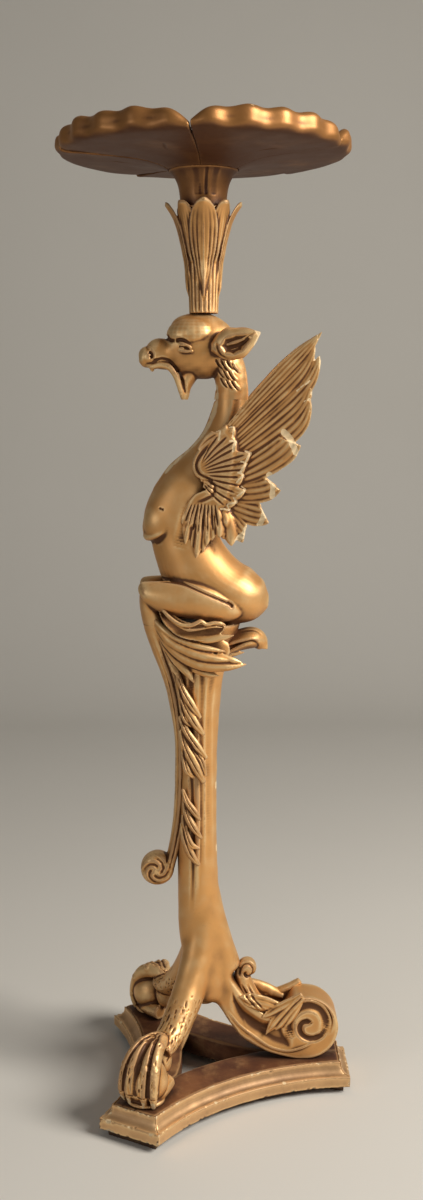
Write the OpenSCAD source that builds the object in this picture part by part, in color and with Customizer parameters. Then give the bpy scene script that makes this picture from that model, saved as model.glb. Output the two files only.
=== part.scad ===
// Carved and gilt vase stand: a winged beast sits on a fluted column and carries a petalled dish.
// The beast faces -X and its left side is -Y. The origin is the middle of the base, on the floor.

/* [Dish] */
// Diameter of the dish at the fold of its petals
dish_d = 324; // [260:2:380]
// Height of the petals' rolled rim above the fold
rim_h = 27; // [16:1:36]
// Thickness of a petal
petal_t = 7; // [5:0.5:10]
// Number of petals
petal_count = 5; // [5]
// Number of scallops along one petal's rim
scallop_count = 5; // [3:1:7]
// How far the scallops bulge outwards
scallop_d = 3; // [1:0.5:5]
// Diameter of the dish's neck where it enters the calyx
dish_neck_d = 48; // [40:1:54]
// Height of the dish's underside above the calyx
dish_neck_h = 47; // [36:1:70]

/* [Calyx and stem] */
// Diameter of the fluted stem where it stands on the head
stem_d = 31; // [26:1:36]
// Height of the calyx and stem together
stem_h = 118; // [90:2:150]
// Number of leaves round the calyx
calyx_leaves = 8; // [6:1:10]
// Distance of the leaf tips from the axis
calyx_r = 43; // [38:1:52]
// Thickness of a leaf of the calyx
calyx_leaf_t = 6; // [4:0.5:8]
// Number of flutes round the stem
stem_flutes = 16; // [12:1:20]

/* [Beast] */
// Height from the seat to the crown of the head
beast_h = 348; // [300:2:400]
// Width across the hips
hip_w = 80; // [70:1:90]
// Depth from the breast to the rump
beast_d = 148; // [136:1:156]
// Thickness of a wing at its shoulder
wing_t = 12; // [9:0.5:16]
// Distance of the longest feather's tip from the middle of the beast
wing_reach = 131; // [110:1:146]
// How far the wings splay outwards, in degrees
wing_splay = 9; // [4:1:14]
// Length of a thigh from hip to knee
thigh_l = 112; // [100:1:118]

/* [Column] */
// Diameter of the column at its middle
column_d = 46; // [42:1:52]
// Height of the column from the fork of the legs to the seat
column_h = 456; // [380:4:540]
// Number of soft flutes round the column
column_flutes = 6; // [5:1:8]
// Radius of the curl at the end of the front scroll
curl_r = 20; // [16:1:24]
// Width of the front scroll
scroll_w = 30; // [24:1:36]

/* [Legs] */
// Height from the plinth to the fork of the legs
leg_h = 64.6; // [58:0.2:72]
// Radius of the roll of the volute leg
roll_r = 38; // [34:0.5:41]
// Thickness of the volute leg
volute_t = 44; // [34:1:50]
// Depth of the carved hollow on each side of the volute leg
hollow_d = 4; // [2:0.5:7]
// Radius of the curled tip of the volute leg's leaf
leaf_curl_r = 10; // [8:0.5:11]
// Thickness of a paw leg's shank below the column
shank_t = 40; // [34:1:44]
// Radius of the ball that a paw grips
ball_r = 27; // [23:0.5:30]
// Distance of a leg's foot from the end of the plinth
foot_setback = 36; // [32:1:44]

/* [Plinth] */
// Distance of a plinth end from the axis
plinth_reach = 170; // [160:1:185]
// Half the width of a plinth end
end_half_w = 38.8; // [34:0.2:44]
// Radius of a concave side at its foot
side_r = 270; // [250:1:320]
// Thickness of the boards
board_t = 26.6; // [22:0.2:32]
// Width of the boards behind the moulding
board_w = 45.6; // [38:0.2:52]
// Depth of the moulding from front to back
moulding_d = 12.4; // [10:0.2:16]
// Height of the moulding's flat fascia
fascia_h = 12.8; // [9:0.2:15]
// Height of the corner pads
pad_h = 8.8; // [6:0.2:12]

/* [Joints] */
// Diameter of the large dowels
dowel_d = 14; // [10:1:16]
// Diameter of the small dowels
pin_d = 8; // [6:1:10]
// Gap round a dowel in its hole
dowel_gap = 0.1; // [0.05:0.05:0.3]
// Thickness of a glue line
glue = 0.1; // [0.05:0.05:0.3]

/* [Hidden] */

gilt = [0.72, 0.52, 0.27];
dark_gilt = [0.55, 0.36, 0.17];
bare_wood = [0.42, 0.27, 0.16];
steel = [0.45, 0.45, 0.45];

// Levels of the stack, from the floor up
plinth_z = pad_h + board_t;
fork_z = plinth_z + leg_h;
seat_z = fork_z + column_h;
crown_z = seat_z + beast_h;
calyx_z = crown_z + stem_h;
dish_z = calyx_z + dish_neck_h;
left = -1;
right = 1;

// The rows of points below are drawn at these sizes and stretched to the sizes above
drawn_beast = [148, 80, 348];
drawn_thigh_l = 112;
drawn_wing_reach = 131;
drawn_column_d = 46;
drawn_column_h = 456;
drawn_leg_h = 64.6;
drawn_foot_u = 134;
drawn_roll_x = 119;
drawn_volute_t = 44;
drawn_shank_t = 40;
drawn_ball_r = 27;
drawn_petal_t = 7;

// Angles of the three corners: the volute leg, the left paw and the right paw
corner_angles = [0, -120, 120];
// Directions of the three concave sides
side_angles = [-60, 60, 180];

// Fair curves and skins over oval rings

function fair_point(a, b, c, d, t) =
    0.5 * (2 * b + (c - a) * t + (2 * a - 5 * b + 4 * c - d) * t * t
        + (3 * b - 3 * c + d - a) * t * t * t);

// Rows along a smooth curve through the given rows, with n steps between each two
function fair(rows, n) =
    let (last = len(rows) - 1)
    [
        for (i = [0:last - 1], k = [0:n - 1])
            fair_point(rows[max(i - 1, 0)], rows[i], rows[i + 1], rows[min(i + 2, last)], k / n),
        rows[last]
    ];

// A row is [x, y, z, half thickness, half width across Y, lean of the ring towards -X in degrees]
function oval(row, sides, flutes, depth) = [
    for (i = [0:sides - 1])
        let (
            a = 360 * i / sides,
            groove = 1 - depth * (0.5 - 0.5 * cos(a * flutes)),
            s = row[3] * cos(a) * groove
        )
        [row[0] + s * cos(row[5]), row[1] + row[4] * sin(a) * groove, row[2] + s * sin(row[5])]
];

// Rings stretched along X, Y and Z and then lifted
function stretched(rings, stretch, lift) =
    [for (ring = rings) [for (p = ring) [p[0] * stretch[0], p[1] * stretch[1], p[2] * stretch[2] + lift]]];

// Closed skin over rings of equal count, listed along the direction in which they turn
module skin(rings) {
    sides = len(rings[0]);
    last = len(rings) - 1;
    walls = [
        for (j = [0:last - 1], i = [0:sides - 1])
            let (a = j * sides + i, b = j * sides + (i + 1) % sides)
            each [[a, a + sides, b + sides], [a, b + sides, b]]
    ];
    bottom = [for (i = [0:sides - 1]) i];
    top = [for (i = [sides - 1:-1:0]) last * sides + i];
    polyhedron([for (r = rings) each r], concat(walls, [bottom], [top]), 10);
}

module limb(rows, steps, sides, stretch = [1, 1, 1], lift = 0, flutes = 1, depth = 0) {
    skin(stretched([for (r = fair(rows, steps)) oval(r, sides, flutes, depth)], stretch, lift));
}

// A flat blade from a to b that bows sideways by bow, w wide and t thick across Y, widest at belly
module blade(a, b, w, t, bow = 0, belly = 0.55) {
    along = (b - a) / norm(b - a);
    across = [-along[2], 0, along[0]];
    middle = a + (b - a) * belly + across * bow;
    hull() {
        lump(a, w * 0.3, t * 0.8);
        lump(middle, w * 0.5, t);
    }
    hull() {
        lump(middle, w * 0.5, t);
        lump(b, w * 0.06, t * 0.3);
    }
}

module lump(at, r, t) {
    translate(at) scale([1, t / 2 / r, 1]) sphere(r, $fn = 8);
}

module dowel(d, l) {
    cylinder(d = d, h = l, center = true, $fn = 48);
}

// Plinth

// Distance of the concave sides' centres from the axis
side_centre = side_centre_for(plinth_reach, end_half_w, side_r);
function side_centre_for(reach, half, r) =
    let (
        // The end's corner seen along the side's own direction
        along = reach * cos(60) + half * sin(60),
        off = reach * sin(60) - half * cos(60)
    )
    along + sqrt(r * r - off * off);
board_r = side_r + moulding_d;
board_reach = plinth_reach - moulding_d;
// Half the width of a board's end, where its side arc meets it
board_half_w = arc_half_w(board_reach, board_r);
// Distance from a corner's middle line to the side arc of radius r, at a distance from the axis
function arc_half_w(reach, r) =
    let (cx = side_centre * cos(60), cy = side_centre * sin(60))
    cy - sqrt(r * r - (reach - cx) * (reach - cx));

function turned(p, a) = [p[0] * cos(a) - p[1] * sin(a), p[0] * sin(a) + p[1] * cos(a)];

module board(angle) {
    color(bare_wood)
    difference() {
        rotate(angle)
        translate([0, 0, pad_h])
        linear_extrude(board_t)
        intersection() {
            translate([side_centre, 0])
            difference() {
                circle(board_r + board_w, $fn = 180);
                circle(board_r, $fn = 180);
            }
            polygon([
                turned([glue * 2, 0], 0),
                turned([board_reach, -glue / 2], 60),
                turned([board_reach, -board_half_w - 1], 60),
                [side_centre, 0],
                turned([board_reach, board_half_w + 1], -60),
                turned([board_reach, glue / 2], -60)
            ]);
        }
        mitre_dowel_holes();
        leg_screw_holes();
    }
}

// Fascia, cove and top fillet, with x measured from the face inwards
fillet_h = 2;
fillet_d = 2;
fascia_lip = 1.5;
module moulding_profile() {
    back = moulding_d - glue;
    cove_h = board_t - fascia_h - fillet_h;
    cove_d = back - fillet_d - fascia_lip;
    polygon(concat(
        [[0, 0], [back, 0], [back, board_t], [back - fillet_d, board_t]],
        [for (a = [0:15:90]) [back - fillet_d - cove_d * (1 - cos(a)), board_t - fillet_h - cove_h * sin(a)]],
        [[0, fascia_h]]
    ));
}

module side_moulding(angle) {
    color(gilt)
    rotate(angle)
    translate([0, 0, pad_h])
    intersection() {
        translate([side_centre, 0, 0])
        rotate([0, 0, 180 - 60])
        rotate_extrude(angle = 120, $fn = 180)
        translate([side_r, 0])
        moulding_profile();
        linear_extrude(board_t)
        polygon([
            turned([board_reach, -board_half_w - glue], 60),
            turned([plinth_reach, -end_half_w - glue], 60),
            [side_centre, 0],
            turned([plinth_reach, end_half_w + glue], -60),
            turned([board_reach, board_half_w + glue], -60),
            [0, 0]
        ]);
    }
}

module end_moulding(angle) {
    color(gilt)
    rotate(angle)
    translate([0, 0, pad_h])
    intersection() {
        translate([plinth_reach, end_half_w + 1, 0])
        rotate([90, 0, 0])
        linear_extrude(2 * end_half_w + 2)
        mirror([1, 0])
        moulding_profile();
        linear_extrude(board_t)
        polygon([
            [board_reach, board_half_w],
            [plinth_reach, end_half_w],
            [plinth_reach, -end_half_w],
            [board_reach, -board_half_w]
        ]);
    }
}

pad_inset = 7;
pad_l = 55;
module pad(angle) {
    outer = plinth_reach - pad_inset;
    inner = outer - pad_l;
    color(dark_gilt)
    rotate(angle)
    linear_extrude(pad_h)
    polygon([
        [inner, end_half_w - 3 * pad_inset],
        [outer, end_half_w - pad_inset],
        [outer, -end_half_w + pad_inset],
        [inner, -end_half_w + 3 * pad_inset]
    ]);
}

mitre_dowel_setback = 70;
mitre_dowel_u = plinth_reach - mitre_dowel_setback;
mitre_dowel_l = 44;
mitre_dowel_z = pad_h + board_t / 2;
module mitre_dowel_row(d, l) {
    for (a = corner_angles)
        rotate(a)
        translate([mitre_dowel_u, 0, mitre_dowel_z])
        rotate([90, 0, 0])
        dowel(d, l);
}
module mitre_dowel_holes() {
    mitre_dowel_row(pin_d + 2 * dowel_gap, mitre_dowel_l + 1);
}

// Legs, each drawn along +X and then turned to its corner

foot_u = plinth_reach - foot_setback;
leg_stretch = leg_h / drawn_leg_h;
// Places of the foot screws, beside the mitre of the boards
screw_setback = 16;
screw_u = foot_u - screw_setback;
screw_v = 11;
screw_d = 5;
screw_head_d = 10;
screw_head_h = 4;
screw_l = 38;
screw_recess = 2;
module leg_screw_holes() {
    for (a = corner_angles)
        rotate(a)
        translate([screw_u, screw_v, pad_h]) {
            cylinder(d = screw_d + 2 * dowel_gap, h = screw_recess + screw_head_h + screw_l + 1, $fn = 32);
            cylinder(d = screw_head_d + 2 * dowel_gap, h = screw_recess + screw_head_h, $fn = 32);
        }
}
module leg_screw_row() {
    for (a = corner_angles)
        rotate(a)
        translate([screw_u, screw_v, pad_h + screw_recess]) {
            cylinder(d = screw_head_d, h = screw_head_h, $fn = 32);
            cylinder(d = screw_d, h = screw_head_h + screw_l, $fn = 32);
        }
}

leg_dowel_rise = 22;
leg_dowel_z = fork_z + leg_dowel_rise;
leg_dowel_l = 26;
leg_dowel_u = 20;
module leg_dowel_row(d, l) {
    for (a = corner_angles)
        rotate(a)
        translate([leg_dowel_u, 0, leg_dowel_z])
        rotate([0, 90, 0])
        dowel(d, l);
}
module leg_dowel_holes() {
    leg_dowel_row(pin_d + 2 * dowel_gap, leg_dowel_l + 1);
}

// Centre of the volute's roll
roll_setback = 15;
roll_x = foot_u - roll_setback;
roll_z = plinth_z + roll_r;
volute_stretch = roll_x / drawn_roll_x;

// Points of the volute leg's side, drawn from the plinth up
function volute_side(points) =
    [for (p = points) [p[0] * volute_stretch, plinth_z + p[1] * leg_stretch]];

// Outline of the leg: the top edge, the far half of the roll, then the lower edge
module volute_outline() {
    top_edge = fair(concat(
        volute_side([
            [0, 124.6], [22, 116.6], [33, 95.6], [45, 79.6], [59, 65.6], [71, 56.6], [81, 54], [94, 58]
        ]),
        [[roll_x - roll_r * 0.34, roll_z + roll_r * 0.95], [roll_x, roll_z + roll_r]]
    ), 3);
    roll = [for (a = [85:-5:-85]) [roll_x + roll_r * cos(a), roll_z + roll_r * sin(a)]];
    low_edge = fair(concat(
        [[roll_x, roll_z - roll_r], [roll_x - roll_r * 0.4, roll_z - roll_r * 0.985]],
        volute_side([[79, 7], [69, 11], [55, 18.6], [40, 30], [30, 43], [20, 58.6], [11, 63.6], [0, 65.6]])
    ), 3);
    polygon(concat(top_edge, roll, low_edge));
}

// A band that winds inwards from the rim of the roll
function roll_spiral(from, r0, r1, turns, n) = [
    for (i = [0:n])
        let (a = from - 360 * turns * i / n, r = r0 + (r1 - r0) * i / n)
        [roll_x + r * cos(a), roll_z + r * sin(a)]
];
groove_w = 3.2;
groove_turns = 1.3;
groove_start = 150;
module roll_groove() {
    n = 30;
    r0 = roll_r * 0.8;
    r1 = roll_r * 0.36;
    outer = roll_spiral(groove_start, r0, r1, groove_turns, n);
    inner = roll_spiral(groove_start, r0 - groove_w, r1 - groove_w, groove_turns, n);
    polygon(concat(outer, [for (i = [n:-1:0]) inner[i]]));
}

// The hollow in the side of the leg, between its borders
module volute_hollow() {
    polygon(fair(concat(
        volute_side([[32, 88.6], [38, 76.6], [52, 62], [66, 50], [82, 44]]),
        [[roll_x - 0.8 * roll_r, roll_z + 0.03 * roll_r], [roll_x - 0.62 * roll_r, roll_z - 0.68 * roll_r]],
        volute_side([[78, 15], [60, 24], [46, 36], [37, 46.6], [30, 66.6], [30, 78.6]])
    ), 2));
}

module volute_form() {
    rotate([90, 0, 0])
    difference() {
        linear_extrude(volute_t, center = true) volute_outline();
        for (side = [left, right])
            translate([0, 0, side * volute_t / 2]) {
                linear_extrude(2 * hollow_d, center = true) volute_hollow();
                linear_extrude(2 * hollow_d, center = true) roll_groove();
            }
    }
}

module volute_leg() {
    color(gilt)
    difference() {
        volute_form();
        column_form();
        leg_dowel_holes();
        leg_screw_holes();
    }
}

// Leaf along the top of the volute leg, with a curled tip that stands free
leaf_curl = volute_side([[50, 105.6]])[0];
leaf_curl_w = 17;
module volute_leaf() {
    rows = [
        [92, 0, 59, 2, 9, 20],
        [83, 0, 57, 3.5, 17, 48],
        [71, 0, 59, 4.5, 20, 52],
        [59, 0, 69, 5, 18, 40],
        [50, 0, 80.6, 5, 13, 20],
        [45, 0, 91.6, 4.5, 9, 4],
        [43, 0, 101.6, 5, 8, -8],
        [45, 0, 110.6, 3, 7, -30]
    ];
    color(gilt)
    difference() {
        union() {
            limb(rows, 2, 14, [volute_stretch, volute_t / drawn_volute_t, leg_stretch], plinth_z);
            translate([leaf_curl[0], 0, leaf_curl[1]])
            rotate([90, 0, 0])
            cylinder(r = leaf_curl_r, h = leaf_curl_w, center = true, $fn = 40);
        }
        volute_block();
    }
}

// The volute leg without its side hollows, which the leaf is bedded on
module volute_block() {
    rotate([90, 0, 0])
    linear_extrude(volute_t + 2, center = true)
    volute_outline();
}

// Paw leg: a furred shank and a foot whose toes grip a ball
ball_z = plinth_z + ball_r;
shank_stretch = [foot_u / drawn_foot_u, 1, leg_stretch];
shank_wide = shank_t / drawn_shank_t;
shank_rows = [
    for (r = [
        [104, 0, 52, 13, 17, 62],
        [90, 0, 50, 14.5, 16, 54],
        [76, 0, 56, 16, 17, 46],
        [60, 0, 70, 18, 19, 42],
        [43, 0, 86.6, 20, 20, 36],
        [26, 0, 110.6, 19, 19, 28],
        [12, 0, 138.6, 15, 17, 16]
    ])
        [r[0], r[1], r[2], r[3] * shank_wide, r[4] * shank_wide, r[5]]
];
toe_count = 4;
toe_fan = 15;
toe_stretch = ball_r / drawn_ball_r;
// Distance of the ankle, from which the toes fan out, behind the ball's centre
ankle_back = 36 * toe_stretch;
module toe(turn) {
    // From the knuckle over the ball to the claw, drawn outwards from the ankle
    rows = [
        [0, 0, 27, 8, 8, -66],
        [14, 0, 35, 11, 9, -76],
        [32, 0, 37, 12, 10, -98],
        [46, 0, 28, 11.5, 10, -126],
        [56, 0, 12, 10, 9, -150],
        [60, 0, 0, 8, 8.5, -172],
        [59, 0, -9, 6, 7, -188],
        [54, 0, -18, 3.5, 4.5, -204],
        [50, 0, -22, 1, 1.5, -214]
    ];
    translate([foot_u - ankle_back, 0, ball_z])
    rotate(turn)
    limb(rows, 1, 10, [toe_stretch, toe_stretch, toe_stretch]);
}
module paw_form() {
    limb(shank_rows, 2, 16, shank_stretch, plinth_z);
    translate([foot_u, 0, ball_z]) sphere(ball_r, $fn = 24);
    for (i = [0:toe_count - 1])
        toe((i - (toe_count - 1) / 2) * toe_fan);
}

module paw_leg(side) {
    color(gilt)
    difference() {
        rotate(side * 120)
        intersection() {
            paw_form();
            translate([0, -plinth_reach, plinth_z]) cube([plinth_reach, 2 * plinth_reach, column_h]);
        }
        column_form();
        leg_dowel_holes();
        leg_screw_holes();
    }
}

// Column

column_rows = [
    [0, 0, 0, 15, 15, 0],
    [0, 0, 8, 23, 23, 0],
    [-2, 0, 26, 27.5, 27, 0],
    [-5, 0, 50, 27.5, 26, 0],
    [-7.5, 0, 78, 25, 24.5, 0],
    [-9, 0, 105, 23.5, 23, 0],
    [-9, 0, 250, 23, 23, 0],
    [-7, 0, 320, 22, 23, 0],
    [-6, 0, 364, 24, 23.5, 0],
    [-8, 0, 390, 28.5, 25, 0],
    [-9, 0, 412, 36, 28, 0],
    [-8, 0, 434, 42, 31, 0],
    [-7, 0, 456, 48, 33, 0]
];
column_high = column_h / drawn_column_h;
column_wide = column_d / drawn_column_d;
flute_depth = 0.05;
module column_form() {
    limb(
        column_rows, 1, column_flutes * 6, [column_wide, column_wide, column_high], fork_z,
        column_flutes, flute_depth
    );
}

seat_dowel_x = -4;
seat_dowel_l = 80;
module column() {
    color(gilt)
    difference() {
        column_form();
        leg_dowel_holes();
        translate([seat_dowel_x, 0, seat_z]) dowel(dowel_d + 2 * dowel_gap, seat_dowel_l + 2);
        scroll_pin_row(pin_d + 2 * dowel_gap, scroll_pin_l + 1);
    }
}

// Front scroll: a strap from the knees down the front of the column, ending in a curl

curl_x = -56 * column_wide;
curl_z = fork_z + 165 * column_high;
// Rows of the strap, with the half width as a share of the scroll's width
scroll_rows = [
    [-43, 0, 165, 7, 0.4, 0],
    [-37, 0, 186, 7, 0.42, 6],
    [-31, 0, 215, 8, 0.45, 2],
    [-27, 0, 251, 9, 0.5, 0],
    [-26, 0, 314, 9, 0.5, -4],
    [-29, 0, 350, 10, 0.5, 8],
    [-36, 0, 389, 11, 0.55, 14],
    [-46, 0, 420, 12, 0.62, 20],
    [-56, 0, 452, 13, 0.8, 20],
    [-62, 0, 476, 12, 1, 12],
    [-63, 0, 490, 11, 1.1, 4]
];
module scroll_form() {
    limb(scroll_rows, 2, 14, [column_wide, scroll_w, column_high], fork_z);
    translate([curl_x, 0, curl_z])
    rotate([90, 0, 0]) {
        cylinder(r = curl_r, h = scroll_w * 0.8, center = true, $fn = 64);
        cylinder(r = curl_r * 0.45, h = scroll_w, center = true, $fn = 40);
    }
}

scroll_pin_l = 18;
scroll_pin_x = -26 * column_wide;
scroll_pin_rises = [230 * column_high, 330 * column_high];
module scroll_pin_row(d, l) {
    for (rise = scroll_pin_rises)
        translate([scroll_pin_x, 0, fork_z + rise])
        rotate([0, 90, 0])
        dowel(d, l);
}

module front_scroll() {
    color(gilt)
    difference() {
        scroll_form();
        column_form();
        thigh_form(left);
        thigh_form(right);
        scroll_pin_row(pin_d + 2 * dowel_gap, scroll_pin_l + 1);
    }
}

// Sprays of acanthus that grow from the scroll over the side of the column
spray_y = 21.5 * column_wide;
spray_t = 9;
module spray(side) {
    color(gilt)
    difference() {
        union()
        translate([0, side * spray_y, fork_z])
        // Each leaf is [root x, root z, tip x, tip z, width, bow]
        for (leaf = [
            [-32, 388, -12, 330, 15, -5],
            [-27, 372, -8, 312, 13, -4],
            [-25, 322, -8, 284, 12, -4],
            [-24, 314, -11, 262, 14, -5],
            [-24, 262, -13, 205, 12, -4],
            [-26, 240, -15, 180, 13, -4]
        ])
            blade(
                [leaf[0] * column_wide, 0, leaf[1] * column_high],
                [leaf[2] * column_wide, 0, leaf[3] * column_high],
                leaf[4] * column_wide, spray_t, leaf[5] * column_wide
            );
        column_form();
        scroll_form();
    }
}

// Beast

deep = beast_d / drawn_beast[0];
wide = hip_w / drawn_beast[1];
high = beast_h / drawn_beast[2];

// Rows of the body, from the seat up
torso_rows = [
    [73, 0, 25, 7, 10, 84],
    [62, 0, 25, 23, 26, 74],
    [47, 0, 27, 31, 36, 64],
    [29, 0, 33, 38, 40, 50],
    [10, 0, 44, 42, 40, 32],
    [-6, 0, 61, 43, 38, 18],
    [-17, 0, 80, 42, 35, 8],
    [-25, 0, 98, 42, 33, 0],
    [-28, 0, 117, 42, 32, -4],
    [-25, 0, 134, 39, 31, -12],
    [-16, 0, 152, 34, 30, -25],
    [-3, 0, 171, 29, 27, -36],
    [12, 0, 190, 25, 24, -38],
    [23, 0, 210, 22, 21, -28]
];
neck_rows = [
    [23, 0, 210, 22, 21, -28],
    [30, 0, 231, 20, 19, -12],
    [31.5, 0, 251, 18, 17.5, 0],
    [31, 0, 270, 18, 18, 6],
    [26, 0, 290, 19, 20, 14],
    [18, 0, 306, 20, 21, 18]
];
head_rows = [
    [37, 0, 312, 5, 6, 90],
    [33, 0, 311, 16, 15, 90],
    [22, 0, 310, 28, 23, 90],
    [6, 0, 310.5, 35.5, 28, 90],
    [-10, 0, 311, 36, 29, 90],
    [-25, 0, 311, 33, 28, 90],
    [-34, 0, 311, 27, 24, 90],
    [-38, 0, 307, 21, 19, 90],
    [-42, 0, 302.5, 16.5, 15, 90],
    [-52, 0, 302, 15, 13, 90],
    [-61, 0, 299.5, 11.5, 12, 90],
    [-68, 0, 297.5, 9, 10.5, 90],
    [-72, 0, 297.5, 4.5, 6, 90]
];
jaw_rows = [
    [-21, 0, 248, 1.5, 3, 0],
    [-22, 0, 255, 5, 7, 0],
    [-21, 0, 264, 6.5, 9, 0],
    [-18, 0, 273, 9, 12, 0],
    [-14, 0, 284, 13, 15, 0]
];

// A limb of the beast, stretched to its depth, width and height
module flesh(rows, sides) {
    limb(rows, 2, sides, [deep, wide, high], seat_z);
}
module torso_form() { flesh(torso_rows, 22); }
module neck_form() { flesh(neck_rows, 18); }
module head_form() { flesh(head_rows, 20); }
module jaw_form() { flesh(jaw_rows, 12); }

// Thigh rows run from the hip to the knee
knee_x = -66;
module thigh_form(side) {
    // A thigh's length is its own, so it is taken out of the body's stretch
    k = thigh_l / drawn_thigh_l / deep;
    flesh([
        [knee_x + 110 * k, side * 27, 18, 4, 5, 84],
        [knee_x + 100 * k, side * 28, 20, 13, 12, 82],
        [knee_x + 82 * k, side * 30, 25, 20, 15, 84],
        [knee_x + 58 * k, side * 31, 30, 22, 17, 88],
        [knee_x + 34 * k, side * 29, 32, 20, 17, 90],
        [knee_x + 14 * k, side * 26, 34, 17, 16, 92],
        [knee_x, side * 23, 37, 13, 14, 96],
        [knee_x - 5, side * 22, 39, 9, 10, 98],
        [knee_x - 8, side * 22, 40, 3, 4, 100]
    ], 16);
}

thigh_dowel_x = 21 * deep;
thigh_dowel_z = seat_z + 30 * high;
thigh_dowel_l = 62;
wing_dowel_x = 4 * deep;
wing_dowel_z = seat_z + 166 * high;
wing_dowel_l = 66;
module cross_dowel(x, z, d, l) {
    translate([x, 0, z]) rotate([90, 0, 0]) dowel(d, l);
}
module seam_dowel(row, d, l) {
    translate([row[0] * deep, 0, seat_z + row[2] * high]) rotate([0, -row[5], 0]) dowel(d, l);
}
neck_seam = torso_rows[len(torso_rows) - 1];
neck_dowel_l = 44;
head_dowel_l = 34;
// The row of the neck where the head's skin crosses it
head_seam = neck_rows[4];
stem_dowel_l = 50;
dish_dowel_l = 56;

// Everything below the seat
module below_seat() {
    translate([-beast_d, -hip_w, seat_z - hip_w]) cube([2 * beast_d, 2 * hip_w, hip_w]);
}

module torso() {
    color(gilt)
    difference() {
        torso_form();
        below_seat();
        translate([seat_dowel_x, 0, seat_z]) dowel(dowel_d + 2 * dowel_gap, seat_dowel_l + 2);
        seam_dowel(neck_seam, dowel_d + 2 * dowel_gap, neck_dowel_l + 2);
        cross_dowel(thigh_dowel_x, thigh_dowel_z, pin_d + 2 * dowel_gap, thigh_dowel_l + 1);
        cross_dowel(wing_dowel_x, wing_dowel_z, pin_d + 2 * dowel_gap, wing_dowel_l + 1);
    }
}

// Half the gap between the thighs
thigh_gap = 1;
module thigh(side) {
    color(gilt)
    difference() {
        thigh_form(side);
        torso_form();
        below_seat();
        translate([-beast_d, -thigh_gap, seat_z]) cube([2 * beast_d, 2 * thigh_gap, beast_h]);
        cross_dowel(thigh_dowel_x, thigh_dowel_z, pin_d + 2 * dowel_gap, thigh_dowel_l + 1);
    }
}

module neck() {
    color(gilt)
    difference() {
        neck_form();
        seam_dowel(neck_seam, dowel_d + 2 * dowel_gap, neck_dowel_l + 2);
        head_form();
        seam_dowel(head_seam, pin_d + 2 * dowel_gap, head_dowel_l + 2);
    }
}

// Depth of the flat on the crown that the stem stands on
crown_flat = 2;
module head() {
    color(gilt)
    difference() {
        head_form();
        translate([0, 0, crown_z + hip_w / 2 - crown_flat]) cube(hip_w, center = true);
        translate([0, 0, crown_z]) dowel(dowel_d + 2 * dowel_gap, stem_dowel_l + 2);
        seam_dowel(head_seam, pin_d + 2 * dowel_gap, head_dowel_l + 2);
    }
}

module lower_jaw() {
    color(gilt)
    difference() {
        jaw_form();
        head_form();
    }
}

module ear(side) {
    color(gilt)
    difference() {
        flesh([
            [61, side * 42, 323, 1.5, 1, 90],
            [56, side * 41, 319, 7, 3, 90],
            [46, side * 38, 314, 14, 5, 90],
            [34, side * 34, 312, 16, 7, 90],
            [23, side * 29, 312, 14, 8, 90],
            [12, side * 24, 308, 8, 8, 90]
        ], 12);
        head_form();
        neck_form();
    }
}

// Wing: each feather is [root x, root z, tip x, tip z, width, bow] from the seat up, before the splay
wing_long = wing_reach / drawn_wing_reach;
primary_feathers = [
    [6, 180, 130, 323, 26, -1],
    [10, 176, 131, 296, 26, 0],
    [14, 170, 123, 243, 28, 2],
    [14, 162, 99, 206, 26, 2],
    [12, 150, 79, 162, 24, 2],
    [12, 142, 69, 122, 22, -2],
    [8, 134, 46, 103, 22, -3],
    [4, 130, 34, 91, 20, -3]
];
covert_feathers = [
    [0, 186, 44, 206, 18, 3],
    [2, 176, 58, 186, 20, 2],
    [2, 166, 46, 156, 18, 0],
    [0, 140, 24, 100, 14, 0],
    [-8, 140, 2, 90, 13, 0],
    [-14, 138, -10, 80, 13, 0],
    [-19, 134, -22, 96, 10, 0]
];
wing_root_x = -8 * wing_long;
wing_y = 27 * wide;
module feather(f, t, belly) {
    blade(
        [f[0] * wing_long, 0, f[1] * high], [f[2] * wing_long, 0, f[3] * high],
        f[4] * wing_long, t, f[5] * wing_long, belly
    );
}
module wing_form(side) {
    translate([wing_root_x, side * wing_y, seat_z])
    rotate([0, 0, side * wing_splay])
    translate([-wing_root_x, 0, 0]) {
        for (f = primary_feathers) feather(f, wing_t * 0.7, 0.7);
        translate([0, side * wing_t * 0.3, 0])
        for (f = covert_feathers) feather(f, wing_t, 0.55);
        hull() {
            lump([4 * wing_long, 0, 186 * high], 15 * wing_long, wing_t);
            lump([6 * wing_long, 0, 170 * high], 15 * wing_long, wing_t * 1.2);
            lump([0, 0, 146 * high], 13 * wing_long, wing_t);
        }
    }
}

module wing(side) {
    color(gilt)
    difference() {
        wing_form(side);
        torso_form();
        neck_form();
        cross_dowel(wing_dowel_x, wing_dowel_z, pin_d + 2 * dowel_gap, wing_dowel_l + 1);
    }
}

// Leaves that hang under the thighs and wrap the top of the column
skirt_leaf_t = 9;
// A place on the beast, drawn from the seat up
function on_beast(p) = [p[0] * deep, p[1] * wide, seat_z + p[2] * deep];
module skirt_leaves(side) {
    color(gilt)
    difference() {
        union()
        for (leaf = [
            [[-46, 32, 24], [24, 40, 2], 20, -8],
            [[-48, 29, 4], [46, 34, -40], 26, -7],
            [[-48, 28, -14], [-9, 25, -63], 18, 2],
            [[-20, 29, -10], [22, 30, -44], 18, -4],
            [[0, 31, 2], [30, 33, -10], 14, -3]
        ])
            blade(
                on_beast([leaf[0][0], side * leaf[0][1], leaf[0][2]]),
                on_beast([leaf[1][0], side * leaf[1][1], leaf[1][2]]),
                leaf[2] * deep, skirt_leaf_t, leaf[3] * deep
            );
        column_form();
        torso_form();
        thigh_form(side);
        scroll_form();
    }
}

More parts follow.
